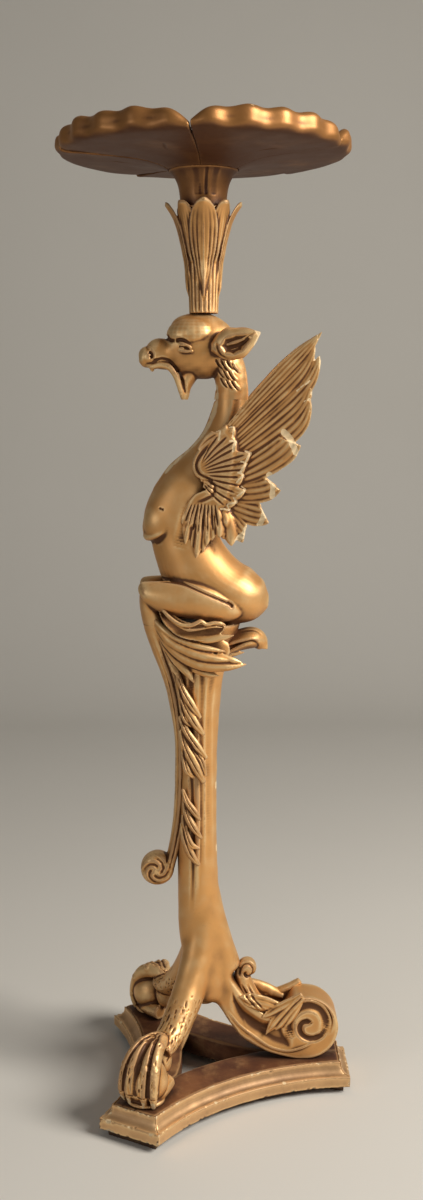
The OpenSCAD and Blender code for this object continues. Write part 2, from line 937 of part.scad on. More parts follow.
// Leaf that curls out from under the rump
module tail_leaf() {
    rows = [
        [30, 0, -14, 10, 22, -40],
        [42, 0, -7, 9, 20, -62],
        [54, 0, -6, 8, 18, -86],
        [64, 0, -11, 7, 15, -118],
        [69, 0, -20, 5, 12, -150],
        [68, 0, -28, 2, 8, -170]
    ];
    color(gilt)
    difference() {
        limb(rows, 2, 14, [deep, wide, deep], seat_z);
        column_form();
        torso_form();
    }
}

// Stem and calyx

stem_top_z = crown_z + stem_h * 0.45;
stem_top_r = stem_d * 0.61;
stem_flute_depth = 0.1;
module stem() {
    foot = stem_d / 2;
    middle = stem_d * 0.53;
    rows = [
        [0, 0, crown_z - crown_flat, foot, foot, 0],
        [0, 0, crown_z + stem_h * 0.22, middle, middle, 0],
        [0, 0, stem_top_z, stem_top_r, stem_top_r, 0]
    ];
    color(gilt)
    difference() {
        limb(rows, 2, stem_flutes * 4, flutes = stem_flutes, depth = stem_flute_depth);
        translate([0, 0, crown_z]) dowel(dowel_d + 2 * dowel_gap, stem_dowel_l + 2);
        translate([0, 0, calyx_z - dish_neck_sink]) dowel(dowel_d + 2 * dowel_gap, dish_dowel_l + 2);
    }
}

// Depth by which the dish's neck stands inside the calyx
dish_neck_sink = 24;
calyx_wall = 4;
calyx_lip = 8;
module calyx() {
    socket_r = dish_neck_d / 2 + glue;
    color(gilt)
    difference() {
        union() {
            translate([0, 0, stem_top_z])
            cylinder(
                r1 = stem_top_r, r2 = socket_r + calyx_wall,
                h = calyx_z - calyx_lip - stem_top_z, $fn = 72
            );
            for (i = [0:calyx_leaves - 1])
                rotate(360 * i / calyx_leaves)
                calyx_leaf();
        }
        translate([0, 0, calyx_z - dish_neck_sink]) cylinder(r = socket_r, h = 2 * dish_neck_sink, $fn = 72);
        translate([0, 0, calyx_z - dish_neck_sink]) dowel(dowel_d + 2 * dowel_gap, dish_dowel_l + 2);
    }
}

module calyx_leaf() {
    base_r = stem_d * 0.53;
    flare = calyx_r - base_r;
    leaf_h = calyx_z - stem_top_z;
    leaf_w = 2 * PI * calyx_r / calyx_leaves * 0.36;
    half_t = calyx_leaf_t / 2;
    rows = [
        [base_r, 0, stem_top_z + leaf_h * 0.03, half_t * 0.85, leaf_w * 0.45, 0],
        [base_r + flare * 0.19, 0, stem_top_z + leaf_h * 0.34, half_t, leaf_w * 0.85, -8],
        [base_r + flare * 0.42, 0, stem_top_z + leaf_h * 0.6, half_t, leaf_w, -14],
        [base_r + flare * 0.7, 0, stem_top_z + leaf_h * 0.85, half_t * 0.85, leaf_w * 0.75, -30],
        [base_r + flare * 0.96, 0, stem_top_z + leaf_h * 0.985, half_t * 0.35, leaf_w * 0.12, -44]
    ];
    limb(rows, 1, 10);
}

// Dish

// Radius of the flat round floor in the middle of the dish
floor_r = 38;
// How far the floor lies below the fold of the petals
floor_drop = 4;
module dish_neck() {
    r = dish_neck_d / 2;
    // Outline of the neck that flares into the floor, from below
    under = fair([
        [r, calyx_z - dish_neck_sink / 4], [r, calyx_z + dish_neck_h * 0.21],
        [r * 1.06, calyx_z + dish_neck_h * 0.5], [r * 1.21, calyx_z + dish_neck_h * 0.77],
        [floor_r, dish_z - floor_drop]
    ], 3);
    color(gilt)
    difference() {
        rotate_extrude($fn = 96)
        polygon(concat(
            [[0, calyx_z - dish_neck_sink], [r, calyx_z - dish_neck_sink]],
            under,
            [[floor_r, dish_z + petal_t - floor_drop], [0, dish_z + petal_t - floor_drop]]
        ));
        translate([0, 0, calyx_z - dish_neck_sink]) dowel(dowel_d + 2 * dowel_gap, dish_dowel_l + 2);
    }
}

// One petal as a grid over its angle: its underside and rim outwards, then back along its top
petal_gap = 0.4;
petal_stretch = petal_t / drawn_petal_t;
first_cleft = 265;
module petal(index) {
    steps = 4 * scallop_count;
    span = 360 / petal_count;
    start = first_cleft - span * (index + 1);
    r = dish_d / 2;
    k = petal_stretch;
    gap_angle = asin(petal_gap / r);
    columns = [
        for (i = [0:steps])
            let (
                t = 2 * i / steps - 1,
                a = start + gap_angle + (span - 2 * gap_angle) * i / steps,
                lobe = abs(sin(180 * scallop_count * i / steps)),
                h = rim_h * (1 - 0.72 * pow(abs(t), 5)) * (0.84 + 0.16 * lobe),
                out = scallop_d * lobe * (1 - 0.5 * pow(abs(t), 4)),
                low = [
                    [floor_r + glue, -floor_drop], [r * 0.42, -1.5 * k], [r * 0.72, -0.5 * k], [r - 3 * k, 0],
                    [r - 0.5 * k, 3 * k], [r - scallop_d + out, h * 0.5],
                    [r - 1.5 * k - scallop_d + out, h * 0.85], [r - 6 * k, h]
                ],
                up = [
                    [floor_r + glue, petal_t - floor_drop], [r * 0.42, 5.5 * k], [r * 0.72, 6.5 * k],
                    [r - 15.4 * k, 7.5 * k], [r - 11.2 * k, 10 * k],
                    [r - 9.5 * k, h * 0.5 + 4 * k], [r - 9.5 * k, h * 0.85], [r - 8 * k, h]
                ]
            )
            [for (p = concat(low, [for (k = [len(up) - 1:-1:0]) up[k]]))
                [p[0] * cos(a), p[0] * sin(a), dish_z + p[1]]]
    ];
    m = len(columns[0]);
    half = m / 2;
    walls = [
        for (j = [0:steps - 1], i = [0:m - 1])
            let (a = j * m + i, b = j * m + (i + 1) % m)
            each [[a, b, b + m], [a, b + m, a + m]]
    ];
    ends = [
        for (j = [0, steps], i = [0:half - 2])
            let (a = j * m + i, b = a + 1, c = j * m + m - 2 - i, d = c + 1)
            each j == 0 ? [[a, c, b], [a, d, c]] : [[a, b, c], [a, c, d]]
    ];
    color(gilt)
    polyhedron([for (c = columns) each c], concat(walls, ends), 10);
}

board(side_angles[0]);  // left_board
board(side_angles[1]);  // right_board
board(side_angles[2]);  // front_board
side_moulding(side_angles[0]);  // left_moulding
side_moulding(side_angles[1]);  // right_moulding
side_moulding(side_angles[2]);  // front_moulding
end_moulding(corner_angles[0]);  // volute_end_moulding
end_moulding(corner_angles[1]);  // left_paw_end_moulding
end_moulding(corner_angles[2]);  // right_paw_end_moulding
pad(corner_angles[0]);  // volute_pad
pad(corner_angles[1]);  // left_paw_pad
pad(corner_angles[2]);  // right_paw_pad
volute_leg();
volute_leaf();
paw_leg(left);  // left_paw_leg
paw_leg(right);  // right_paw_leg
column();
front_scroll();
spray(left);  // left_leaf_spray
spray(right);  // right_leaf_spray
torso();
thigh(left);  // left_thigh
thigh(right);  // right_thigh
neck();
head();
lower_jaw();
ear(left);  // left_ear
ear(right);  // right_ear
wing(left);  // left_wing
wing(right);  // right_wing
skirt_leaves(left);  // left_skirt_leaves
skirt_leaves(right);  // right_skirt_leaves
tail_leaf();
stem();
calyx();
dish_neck();
petal(0);  // petal_1
petal(1);  // petal_2
petal(2);  // petal_3
petal(3);  // petal_4
petal(4);  // petal_5
color(bare_wood) mitre_dowel_row(pin_d, mitre_dowel_l);  // mitre_dowels
color(steel) leg_screw_row();  // leg_screws
color(bare_wood) leg_dowel_row(pin_d, leg_dowel_l);  // leg_dowels
color(bare_wood) translate([seat_dowel_x, 0, seat_z]) dowel(dowel_d, seat_dowel_l);  // seat_dowel
color(bare_wood) cross_dowel(thigh_dowel_x, thigh_dowel_z, pin_d, thigh_dowel_l);  // thigh_dowel
color(bare_wood) seam_dowel(neck_seam, dowel_d, neck_dowel_l);  // neck_dowel
color(bare_wood) seam_dowel(head_seam, pin_d, head_dowel_l);  // head_dowel
color(bare_wood) translate([0, 0, crown_z]) dowel(dowel_d, stem_dowel_l);  // stem_dowel
color(bare_wood) translate([0, 0, calyx_z - dish_neck_sink]) dowel(dowel_d, dish_dowel_l);  // dish_dowel
color(bare_wood) cross_dowel(wing_dowel_x, wing_dowel_z, pin_d, wing_dowel_l);  // wing_dowel
color(bare_wood) scroll_pin_row(pin_d, scroll_pin_l);  // scroll_pins
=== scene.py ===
import math

import bmesh
import bpy
import numpy as np
from mathutils import Matrix, Vector


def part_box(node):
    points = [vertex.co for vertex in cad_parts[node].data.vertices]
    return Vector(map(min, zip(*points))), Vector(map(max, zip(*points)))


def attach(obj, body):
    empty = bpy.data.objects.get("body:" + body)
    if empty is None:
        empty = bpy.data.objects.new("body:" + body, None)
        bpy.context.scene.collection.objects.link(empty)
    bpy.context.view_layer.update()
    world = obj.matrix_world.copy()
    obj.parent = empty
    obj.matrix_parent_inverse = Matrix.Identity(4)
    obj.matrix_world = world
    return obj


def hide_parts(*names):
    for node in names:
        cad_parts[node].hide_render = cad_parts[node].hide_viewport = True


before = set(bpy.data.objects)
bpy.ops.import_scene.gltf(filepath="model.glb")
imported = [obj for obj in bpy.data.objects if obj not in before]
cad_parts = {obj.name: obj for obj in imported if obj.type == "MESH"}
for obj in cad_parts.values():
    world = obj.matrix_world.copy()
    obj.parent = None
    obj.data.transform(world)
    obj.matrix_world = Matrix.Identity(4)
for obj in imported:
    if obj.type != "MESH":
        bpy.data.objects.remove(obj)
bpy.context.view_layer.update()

bl_info = {
    "name": "Carved and Gilded Vase Stand",
    "version": (1, 0, 0),
    "blender": (4, 5, 0),
    "location": "View3D > Sidebar > Vase Stand",
    "description": "Dresses a carved vase stand: a crouching winged beast on a three-legged column",
    "category": "Add Mesh",
}

MM = 1000.0
BODY = "root"
LEFT, RIGHT = -1, 1


def low_of(node):
    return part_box(node)[0] * MM


def high_of(node):
    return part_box(node)[1] * MM


# Levels above the floor, the dish's radius and the strap's width, in millimetres
PLINTH_Z = high_of("left_board").z
FORK_Z = low_of("column").z
SEAT_Z = high_of("column").z
CROWN_SINK = 2.0
CROWN_Z = low_of("stem").z + CROWN_SINK
STEM_TOP_Z = high_of("stem").z
CALYX_Z = high_of("calyx").z
FLOOR_DROP = 4.0
DISH_Z = low_of("petal_1").z + FLOOR_DROP
RIM_Z = high_of("petal_1").z
DISH_R = 162.0
SCROLL_W = -2 * low_of("front_scroll").y / 2.05

# Angles of the legs' corners, in degrees
CORNERS = {"volute_leg": 0, "left_paw_leg": -120, "right_paw_leg": 120}


class StandSizes(bpy.types.PropertyGroup):
    voxel: bpy.props.FloatProperty(
        name="Carving grain", description="Size of the cells that fused carving is built on, in millimetres",
        default=1.1, min=0.5, max=4.0)
    fur_depth: bpy.props.FloatProperty(
        name="Fur depth", description="Depth of the cuts in the fur of the legs, in millimetres",
        default=1.5, min=0.0, max=4.0)
    barb_depth: bpy.props.FloatProperty(
        name="Barb depth", description="Height of the ribs on the feathers, in millimetres",
        default=0.9, min=0.0, max=3.0)
    hand_wobble: bpy.props.FloatProperty(
        name="Hand wobble", description="Unevenness that the carver's hand left, in millimetres",
        default=0.35, min=0.0, max=2.0)


class StandColours(bpy.types.PropertyGroup):
    gold: bpy.props.FloatVectorProperty(
        name="Gold", description="Colour of the sound gilding", subtype="COLOR",
        default=(0.80, 0.41, 0.135), min=0.0, max=1.0)
    # Both the brown of old patina in the hollows and the painted shade in corners and on faces that look down
    shade: bpy.props.FloatVectorProperty(
        name="Brown tone and painted shade", description="Colour of the brown toning in the hollows", subtype="COLOR",
        default=(0.085, 0.024, 0.006), min=0.0, max=1.0)
    burnish: bpy.props.FloatVectorProperty(
        name="Burnished gold", description="Colour of the rubbed ridges", subtype="COLOR",
        default=(0.95, 0.655, 0.32), min=0.0, max=1.0)
    bole: bpy.props.FloatVectorProperty(
        name="Bole", description="Colour of the red clay under the gold", subtype="COLOR",
        default=(0.30, 0.085, 0.03), min=0.0, max=1.0)
    gesso: bpy.props.FloatVectorProperty(
        name="Gesso", description="Colour of the chalk ground where the gilding has chipped", subtype="COLOR",
        default=(0.90, 0.68, 0.40), min=0.0, max=1.0)
    board: bpy.props.FloatVectorProperty(
        name="Board wood", description="Colour of the worn wood of the plinth", subtype="COLOR",
        default=(0.26, 0.105, 0.04), min=0.0, max=1.0)


class StageSettings(bpy.types.PropertyGroup):
    key_power: bpy.props.FloatProperty(
        name="Key light", description="Power of the large soft light at the upper right", subtype="POWER",
        default=62.0, min=0.0)
    fill_power: bpy.props.FloatProperty(
        name="Fill light", description="Power of the weak light at the left", subtype="POWER",
        default=7.0, min=0.0)
    world_level: bpy.props.FloatProperty(
        name="Room light", description="Strength of the even light of the room",
        default=0.11, min=0.0, max=2.0)


# Shapes in millimetres


def fair(rows, steps):
    """Rows along a smooth curve through the given rows."""
    rows = np.array(rows, float)
    last = len(rows) - 1
    out = []
    for i in range(last):
        a, b = rows[max(i - 1, 0)], rows[i]
        c, d = rows[i + 1], rows[min(i + 2, last)]
        for k in range(steps):
            t = k / steps
            out.append(0.5 * (2 * b + (c - a) * t + (2 * a - 5 * b + 4 * c - d) * t ** 2
                              + (3 * b - 3 * c + d - a) * t ** 3))
    out.append(rows[last])
    return np.array(out)


def unit(vectors):
    return vectors / np.maximum(np.linalg.norm(vectors, axis=-1, keepdims=True), 1e-9)


def turned(points, degrees, about=(0.0, 0.0)):
    """Points turned about a vertical line."""
    points = np.array(points, float)
    c, s = math.cos(math.radians(degrees)), math.sin(math.radians(degrees))
    x, y = points[..., 0] - about[0], points[..., 1] - about[1]
    points[..., 0], points[..., 1] = about[0] + x * c - y * s, about[1] + x * s + y * c
    return points


def loft(rings):
    """A closed skin over rings of equal count: a grid, rolled up, welded and filled at its ends."""
    rings = np.asarray(rings, float)
    count, sides = rings.shape[:2]
    bm = bmesh.new()
    bmesh.ops.create_grid(bm, x_segments=sides, y_segments=count - 1, size=1)
    wrapped = np.concatenate([rings, rings[:, :1]], axis=1).reshape(-1, 3)
    for vert, place in zip(bm.verts, wrapped, strict=True):
        vert.co = place
    bmesh.ops.remove_doubles(bm, verts=bm.verts, dist=0.002)
    bmesh.ops.holes_fill(bm, edges=bm.edges, sides=0)
    bmesh.ops.recalc_face_normals(bm, faces=bm.faces)
    return bm


def above(level, rows):
    """Rows of x, height and more, whose heights count from a level."""
    return [(x, level + z, *rest) for x, z, *rest in rows]


def in_middle(level, rows):
    """Rows of x, height and more in the middle plane, as rows of x, y, z and more."""
    return [(x, 0, level + z, *rest) for x, z, *rest in rows]


def on_side(side, rows):
    """Rows of x, y, height above the seat and more, with y on the given side."""
    return [(x, side * y, SEAT_Z + z, *rest) for x, y, z, *rest in rows]


def oval_rings(rows, steps=4, sides=40, power=1.0):
    """Rings of a limb. A row is x, y, z, half thickness, half width across Y, lean towards -X."""
    rows = fair(rows, steps)
    a = np.arange(sides) * 2 * np.pi / sides
    cos_a = np.sign(np.cos(a)) * np.abs(np.cos(a)) ** power
    sin_a = np.sign(np.sin(a)) * np.abs(np.sin(a)) ** power
    s = rows[:, 3:4] * cos_a
    lean = np.radians(rows[:, 5:6])
    return np.stack([
        rows[:, 0:1] + s * np.cos(lean),
        rows[:, 1:2] + rows[:, 4:5] * sin_a,
        rows[:, 2:3] + s * np.sin(lean),
    ], axis=-1)


def limb(rows, steps=4, sides=40, power=1.0):
    return loft(oval_rings(rows, steps, sides, power))


def frames_along(path, up):
    """Tangent, side and up of a path, where up is held as near as it can be to the given one."""
    tangent = unit(np.gradient(path, axis=0))
    up = np.broadcast_to(np.asarray(up, float), path.shape)
    side = unit(np.cross(tangent, up))
    return tangent, side, unit(np.cross(side, tangent))


def tube(rows, steps=6, sides=12, up=(0.0, 1.0, 0.31)):
    """A round rod through rows of x, y, z, radius."""
    rows = fair(rows, steps)
    _, side, high = frames_along(rows[:, :3], up)
    a = (np.arange(sides) * 2 * np.pi / sides)[None, :, None]
    rings = rows[:, None, :3] + rows[:, None, 3:4] * (np.cos(a) * side[:, None] + np.sin(a) * high[:, None])
    return loft(rings)


def ball(at, radii, segments=28):
    """A rounded lump with three radii."""
    bm = bmesh.new()
    place = Matrix.Translation(Vector(at)) @ Matrix.Diagonal(Vector((*radii, 1.0)))
    bmesh.ops.create_uvsphere(bm, u_segments=segments, v_segments=segments // 2, radius=1.0, matrix=place)
    return bm


def leaf_rings(rows, up, ribs=3, rib=0.7, crown=1.6, thick=3.0, bent=0.0, steps=8, across=25):
    """Rings of a carved blade through rows of x, y, z, half width: ribbed and crowned on its face.
    A blade that is bent has a back that follows its crown."""
    rows = fair(rows, steps)
    _, side, high = frames_along(rows[:, :3], up)
    half = np.maximum(rows[:, 3], 0.15)
    v = np.sin(np.linspace(-np.pi / 2, np.pi / 2, across))
    small = np.clip(half / 5.0, 0.15, 1.0)[:, None]
    arch = crown * (1 - v ** 2)[None] * small
    face = arch + rib * small * (np.abs(np.cos(np.pi * ribs * v / 2)) - 0.6)[None]
    face[:, 0] = face[:, -1] = 0.0
    back = bent * arch - thick * small * np.sqrt(np.maximum(1 - v ** 2, 0.0))[None]
    ring_v = np.concatenate([v, v[::-1][1:-1]])
    ring_h = np.concatenate([face, back[:, ::-1][:, 1:-1]], axis=1)
    return (rows[:, None, :3] + (half[:, None] * ring_v[None])[..., None] * side[:, None]
            + ring_h[..., None] * high[:, None])


def leaf(rows, up, **shape):
    return loft(leaf_rings(rows, up, **shape))


def domed_roll(x, z, radius, half_width, end_radius, sides, rings, low=1.0, bulge=3.2, power=0.42):
    """A roll across Y with domed ends."""
    a = np.arange(sides) * 2 * np.pi / sides
    out = []
    for k in range(rings + 1):
        t = math.sin((k / rings - 0.5) * math.pi)
        r = radius * (1 - abs(t) ** bulge) ** power if abs(t) < 1 else end_radius
        out.append(np.stack([
            x + r * np.cos(a), np.full(sides, t * half_width), z + r * low * np.sin(a)], axis=1))
    return loft(out)


def gathered(parts):
    """One mesh from several bmeshes."""
    whole = bmesh.new()
    for part in parts:
        scrap = bpy.data.meshes.new("scrap")
        part.to_mesh(scrap)
        part.free()
        whole.from_mesh(scrap)
        bpy.data.meshes.remove(scrap)
    mesh = bpy.data.meshes.new("gathered")
    whole.to_mesh(mesh)
    whole.free()
    return mesh


def fused(parts, cell=1.0, rounds=3):
    """One closed skin around several overlapping forms, on a grid of cells and then softened."""
    mesh = gathered(parts)
    shell = bpy.data.objects.new("fusing", mesh)
    bpy.context.scene.collection.objects.link(shell)
    fuse = shell.modifiers.new("fuse", "REMESH")
    fuse.mode = "VOXEL"
    fuse.voxel_size = cell * bpy.context.scene.stand_sizes.voxel
    fuse.use_smooth_shade = True
    if rounds:
        soften = shell.modifiers.new("soften", "SMOOTH")
        soften.factor = 0.5
        soften.iterations = rounds
    graph = bpy.context.evaluated_depsgraph_get()
    skin = bpy.data.meshes.new_from_object(shell.evaluated_get(graph))
    bpy.data.objects.remove(shell)
    bpy.data.meshes.remove(mesh)
    return skin


def copied(node):
    """A merged copy of a CAD node's mesh, in millimetres."""
    bm = bmesh.new()
    bm.from_mesh(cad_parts[node].data)
    bmesh.ops.scale(bm, vec=(MM, MM, MM), verts=bm.verts)
    bmesh.ops.remove_doubles(bm, verts=bm.verts, dist=0.01)
    bmesh.ops.recalc_face_normals(bm, faces=bm.faces)
    return bm


def kept_part(mesh, planes):
    """The closed part of a mesh behind each plane, which is a point and the direction of what goes."""
    bm = bmesh.new()
    bm.from_mesh(mesh)
    for point, away in planes:
        everything = bm.verts[:] + bm.edges[:] + bm.faces[:]
        cut = bmesh.ops.bisect_plane(
            bm, geom=everything, dist=1e-4, plane_co=point, plane_no=away, clear_outer=True)
        rim = [e for e in cut["geom_cut"] if isinstance(e, bmesh.types.BMEdge)]
        caps = bmesh.ops.holes_fill(bm, edges=rim, sides=0)["faces"]
        for face in caps:
            face.smooth = False
            for edge in face.edges:
                edge.smooth = False
    part = bpy.data.meshes.new("part")
    bm.to_mesh(part)
    bm.free()
    return part


class Carving:
    """The points of a skin, which strokes of a tool push in and out along its normals.
    The heights of strokes count from its level."""

    def __init__(self, mesh, level=0.0):
        self.mesh = mesh
        self.level = level
        self.count = len(mesh.vertices)
        co = np.empty(self.count * 3, np.float32)
        mesh.vertices.foreach_get("co", co)
        self.co = co.reshape(-1, 3).astype(float)
        ends = np.empty(len(mesh.edges) * 2, np.int32)
        mesh.edges.foreach_get("vertices", ends)
        self.a, self.b = ends[0::2], ends[1::2]
        self.degree = np.maximum(
            np.bincount(self.a, minlength=self.count) + np.bincount(self.b, minlength=self.count), 1)
        self.chip = np.zeros(self.count)
        self.settle()

    def settle(self):
        """Writes the points and reads the normals again."""
        self.mesh.vertices.foreach_set("co", self.co.astype(np.float32).ravel())
        self.mesh.update()
        normal = np.empty(self.count * 3, np.float32)
        self.mesh.vertex_normals.foreach_get("vector", normal)
        self.normal = normal.reshape(-1, 3).astype(float)

    def mean(self, values):
        """Mean of each point's neighbours."""
        out = np.empty_like(values)
        for k in range(values.shape[1]):
            column = values[:, k]
            out[:, k] = (np.bincount(self.a, column[self.b], self.count)
                         + np.bincount(self.b, column[self.a], self.count)) / self.degree
        return out

    def melt(self, weight, rounds):
        """Draws each point towards the mean of its neighbours, by its weight."""
        for _ in range(rounds):
            self.co += weight[:, None] * (self.mean(self.co) - self.co)
        self.settle()

    def near(self, points, reach, side):
        """Points of the skin within reach of a line, how far they are and where along it.
        With a side, the line is x and z as seen from that side; without one it is x, y and z."""
        points = np.array(points, float)
        points[:, -1] += self.level
        line = fair(points, 8)
        axes = [0, 1, 2]
        if side:
            axes = [0, 2]
        steps = np.linalg.norm(np.diff(line, axis=0), axis=1)
        place = np.concatenate([[0.0], np.cumsum(steps)])
        fine = np.linspace(0.0, place[-1], max(3, int(place[-1] / reach * 3) + 2))
        line = np.stack([np.interp(fine, place, line[:, k]) for k in range(line.shape[1])], axis=1)
        flat = self.co[:, axes]
        inside = np.all((flat > line.min(0) - reach) & (flat < line.max(0) + reach), axis=1)
        if side:
            inside &= (self.normal[:, 1] * side > 0.02) & (self.co[:, 1] * side > 0)
        index = np.nonzero(inside)[0]
        if not len(index):
            return index, np.zeros(0), np.zeros(0)
        gap = ((flat[index][:, None] - line[None]) ** 2).sum(2)
        best = gap.argmin(1)
        far = np.sqrt(gap[np.arange(len(index)), best])
        keep = far < reach
        return index[keep], far[keep], (best / (len(line) - 1))[keep]

    def stroke(self, points, width, depth, side=0, ends=(0.25, 0.25), sharp=1.5, chip=0.0):
        """Cuts a groove along a line, or raises a ridge where depth is negative."""
        index, far, along = self.near(points, width, side)
        if not len(index):
            return
        weight = (1 - (far / width) ** 2) ** sharp
        if ends[0] > 0:
            weight = weight * np.clip(along / ends[0], 0.0, 1.0)
        if ends[1] > 0:
            weight = weight * np.clip((1 - along) / ends[1], 0.0, 1.0)
        if side:
            weight = weight * np.clip(self.normal[index, 1] * side / 0.3, 0.0, 1.0)
        self.co[index] -= self.normal[index] * (depth * weight)[:, None]
        if chip:
            self.chip[index] = np.maximum(self.chip[index], chip * np.sqrt(weight))

    def both(self, points, width, depth, **rest):
        """The same stroke on the left and on the right."""
        for side in (LEFT, RIGHT):
            self.stroke(points, width, depth, side=side, **rest)

    def hollow(self, outline, depth, edge, side, least_y=0.0):
        """Sinks the inside of an outline seen from one side, with a sloping edge."""
        outline = np.array(outline, float) + [0.0, self.level]
        flat = self.co[:, [0, 2]]
        inside = (np.all((flat > outline.min(0)) & (flat < outline.max(0)), axis=1)
                  & (self.normal[:, 1] * side > 0.4) & (self.co[:, 1] * side > least_y))
        index = np.nonzero(inside)[0]
        p = flat[index]
        odd = np.zeros(len(index), bool)
        nearest = np.full(len(index), 1e9)
        for k in range(len(outline)):
            a, b = outline[k - 1], outline[k]
            crosses = (a[1] > p[:, 1]) != (b[1] > p[:, 1])
            run = b[1] - a[1] if abs(b[1] - a[1]) > 1e-9 else 1e-9
            odd ^= crosses & (p[:, 0] < (b[0] - a[0]) * (p[:, 1] - a[1]) / run + a[0])
            span = b - a
            t = np.clip(((p - a) @ span) / max(span @ span, 1e-9), 0.0, 1.0)
            nearest = np.minimum(nearest, np.linalg.norm(p - a - t[:, None] * span, axis=1))
        t = np.clip(nearest / edge, 0.0, 1.0) * odd
        self.co[index, 1] -= side * depth * (t * t * (3 - 2 * t))

    def wobble(self, size, wave=22.0, seed=3):
        """Slow unevenness of hand work."""
        self.settle()
        if not size:
            return
        rng = np.random.default_rng(seed)
        total = np.zeros(self.count)
        for _ in range(9):
            direction = unit(rng.normal(size=3))
            length = wave * rng.uniform(0.6, 1.8)
            total += np.sin(self.co @ direction * 2 * np.pi / length + rng.uniform(0, 2 * np.pi))
        self.co += self.normal * (total * size / 4.5)[:, None]
        self.settle()

    def relief(self, rounds):
        """How far each point stands above the softened skin."""
        smooth = self.co
        for _ in range(rounds):
            smooth = self.mean(smooth)
        return ((self.co - smooth) * self.normal).sum(1)

    def finished(self, fine=5, broad=60, edges=1.0):
        """Settles the skin and writes its relief and how far it faces down, for the brown tone, the painted
        shade and the wear. Edges lessens the rubbing.
        """
        self.settle()
        grain = bpy.context.scene.stand_sizes.voxel
        under = np.clip(-self.normal[:, 2], 0.0, 1.0)
        relief, hollow = self.relief(fine), self.relief(max(8, int(broad / grain ** 2)))
        # Relief is damped where the skin faces the floor, so undersides get little rubbed gold and stay
        # darker
        values = {
            "relief": np.where(relief > 0, relief * edges * (1 - 0.9 * under), relief),
            "hollow": np.where(hollow > 0, hollow * edges * (1 - 0.9 * under), hollow),
            "chip": self.chip,
            "under": under,
        }
        for name, value in values.items():
            layer = self.mesh.attributes.get(name) or self.mesh.attributes.new(name, "FLOAT", "POINT")
            layer.data.foreach_set("value", value.astype(np.float32))
        return self.mesh


def publish(name, mesh, finish, slot, *nodes):
    """Puts a finished mesh in the scene as a piece that stands for CAD nodes."""
    mesh.name = name
    mesh.transform(Matrix.Scale(1 / MM, 4))
    mesh.materials.clear()
    mesh.materials.append(finish)
    piece = bpy.data.objects.new(name, mesh)
    bpy.context.scene.collection.objects.link(piece)
    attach(piece, BODY)
    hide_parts(*nodes)
    return piece


def smooth_shaded(mesh):
    mesh.polygons.foreach_set("use_smooth", np.ones(len(mesh.polygons), bool))
    mesh.update()
    return mesh


# Materials

# How far the painted shade of a corner reaches, and the height of the bumps, in metres
CORNER_REACH = 0.03
BUMP_HEIGHT = 0.0006


class Nodes:
    """Shorthand for building a node tree."""

    def __init__(self, tree):
        self.tree = tree

    def add(self, kind, inputs=None, **settings):
        node = self.tree.nodes.new(kind)
        for name, value in settings.items():
            setattr(node, name, value)
        for name, value in (inputs or {}).items():
            if isinstance(value, bpy.types.NodeSocket):
                self.tree.links.new(value, node.inputs[name])
            else:
                node.inputs[name].default_value = value
        return node

    def math(self, operation, a, b=0.0, clamp=False):
        return self.add("ShaderNodeMath", {0: a, 1: b}, operation=operation, use_clamp=clamp).outputs[0]

    def plus(self, total, *values):
        for value in values:
            total = self.math("ADD", total, value)
        return total

    def times(self, a, b):
        return self.math("MULTIPLY", a, b)

    def centred(self, value, size):
        """A noise about zero, times a size."""
        return self.times(self.math("SUBTRACT", value, 0.5), size)

    def rest(self, value):
        """What is left of 1."""
        return self.math("SUBTRACT", 1.0, value)

    def openness(self):
        """How open a place is, from 0 in a deep corner."""
        node = self.add("ShaderNodeAmbientOcclusion", {"Distance": CORNER_REACH}, samples=8)
        return node.outputs["AO"]

    def bumped(self, strength, height):
        return self.add("ShaderNodeBump", {
            "Strength": strength, "Distance": BUMP_HEIGHT, "Height": height}).outputs[0]

    def ramp(self, value, low, high):
        """0 below low, 1 above high, smooth between."""
        return self.add("ShaderNodeMapRange", {"Value": value, "From Min": low, "From Max": high},
                        interpolation_type="SMOOTHSTEP", clamp=True).outputs[0]

    def mix(self, factor, a, b):
        node = self.add("ShaderNodeMix", {"Factor": factor}, data_type="RGBA")
        for socket, value in ((node.inputs[6], a), (node.inputs[7], b)):
            if isinstance(value, bpy.types.NodeSocket):
                self.tree.links.new(value, socket)
            else:
                socket.default_value = value
        return node.outputs[2]

    def noise(self, place, scale, detail=3.0, roughness=0.55, stretch=None):
        if stretch:
            place = self.add("ShaderNodeMapping", {"Vector": place, "Scale": stretch}).outputs[0]
        node = self.add("ShaderNodeTexNoise", {
            "Vector": place, "Scale": scale, "Detail": detail, "Roughness": roughness})
        return node.outputs["Fac"]

    def attribute(self, name):
        return self.add("ShaderNodeAttribute", attribute_name=name).outputs["Fac"]


def group_with(name, inputs, outputs):
    """A new shader node group with the given sockets."""
    tree = bpy.data.node_groups.new(name, "ShaderNodeTree")
    for socket, kind, default in inputs:
        made = tree.interface.new_socket(socket, in_out="INPUT", socket_type=kind)
        made.default_value = default
    for socket, kind in outputs:
        tree.interface.new_socket(socket, in_out="OUTPUT", socket_type=kind)
    nodes = Nodes(tree)
    return nodes, nodes.add("NodeGroupInput").outputs, nodes.add("NodeGroupOutput").inputs


def rgba(colour):
    return (*colour, 1.0)


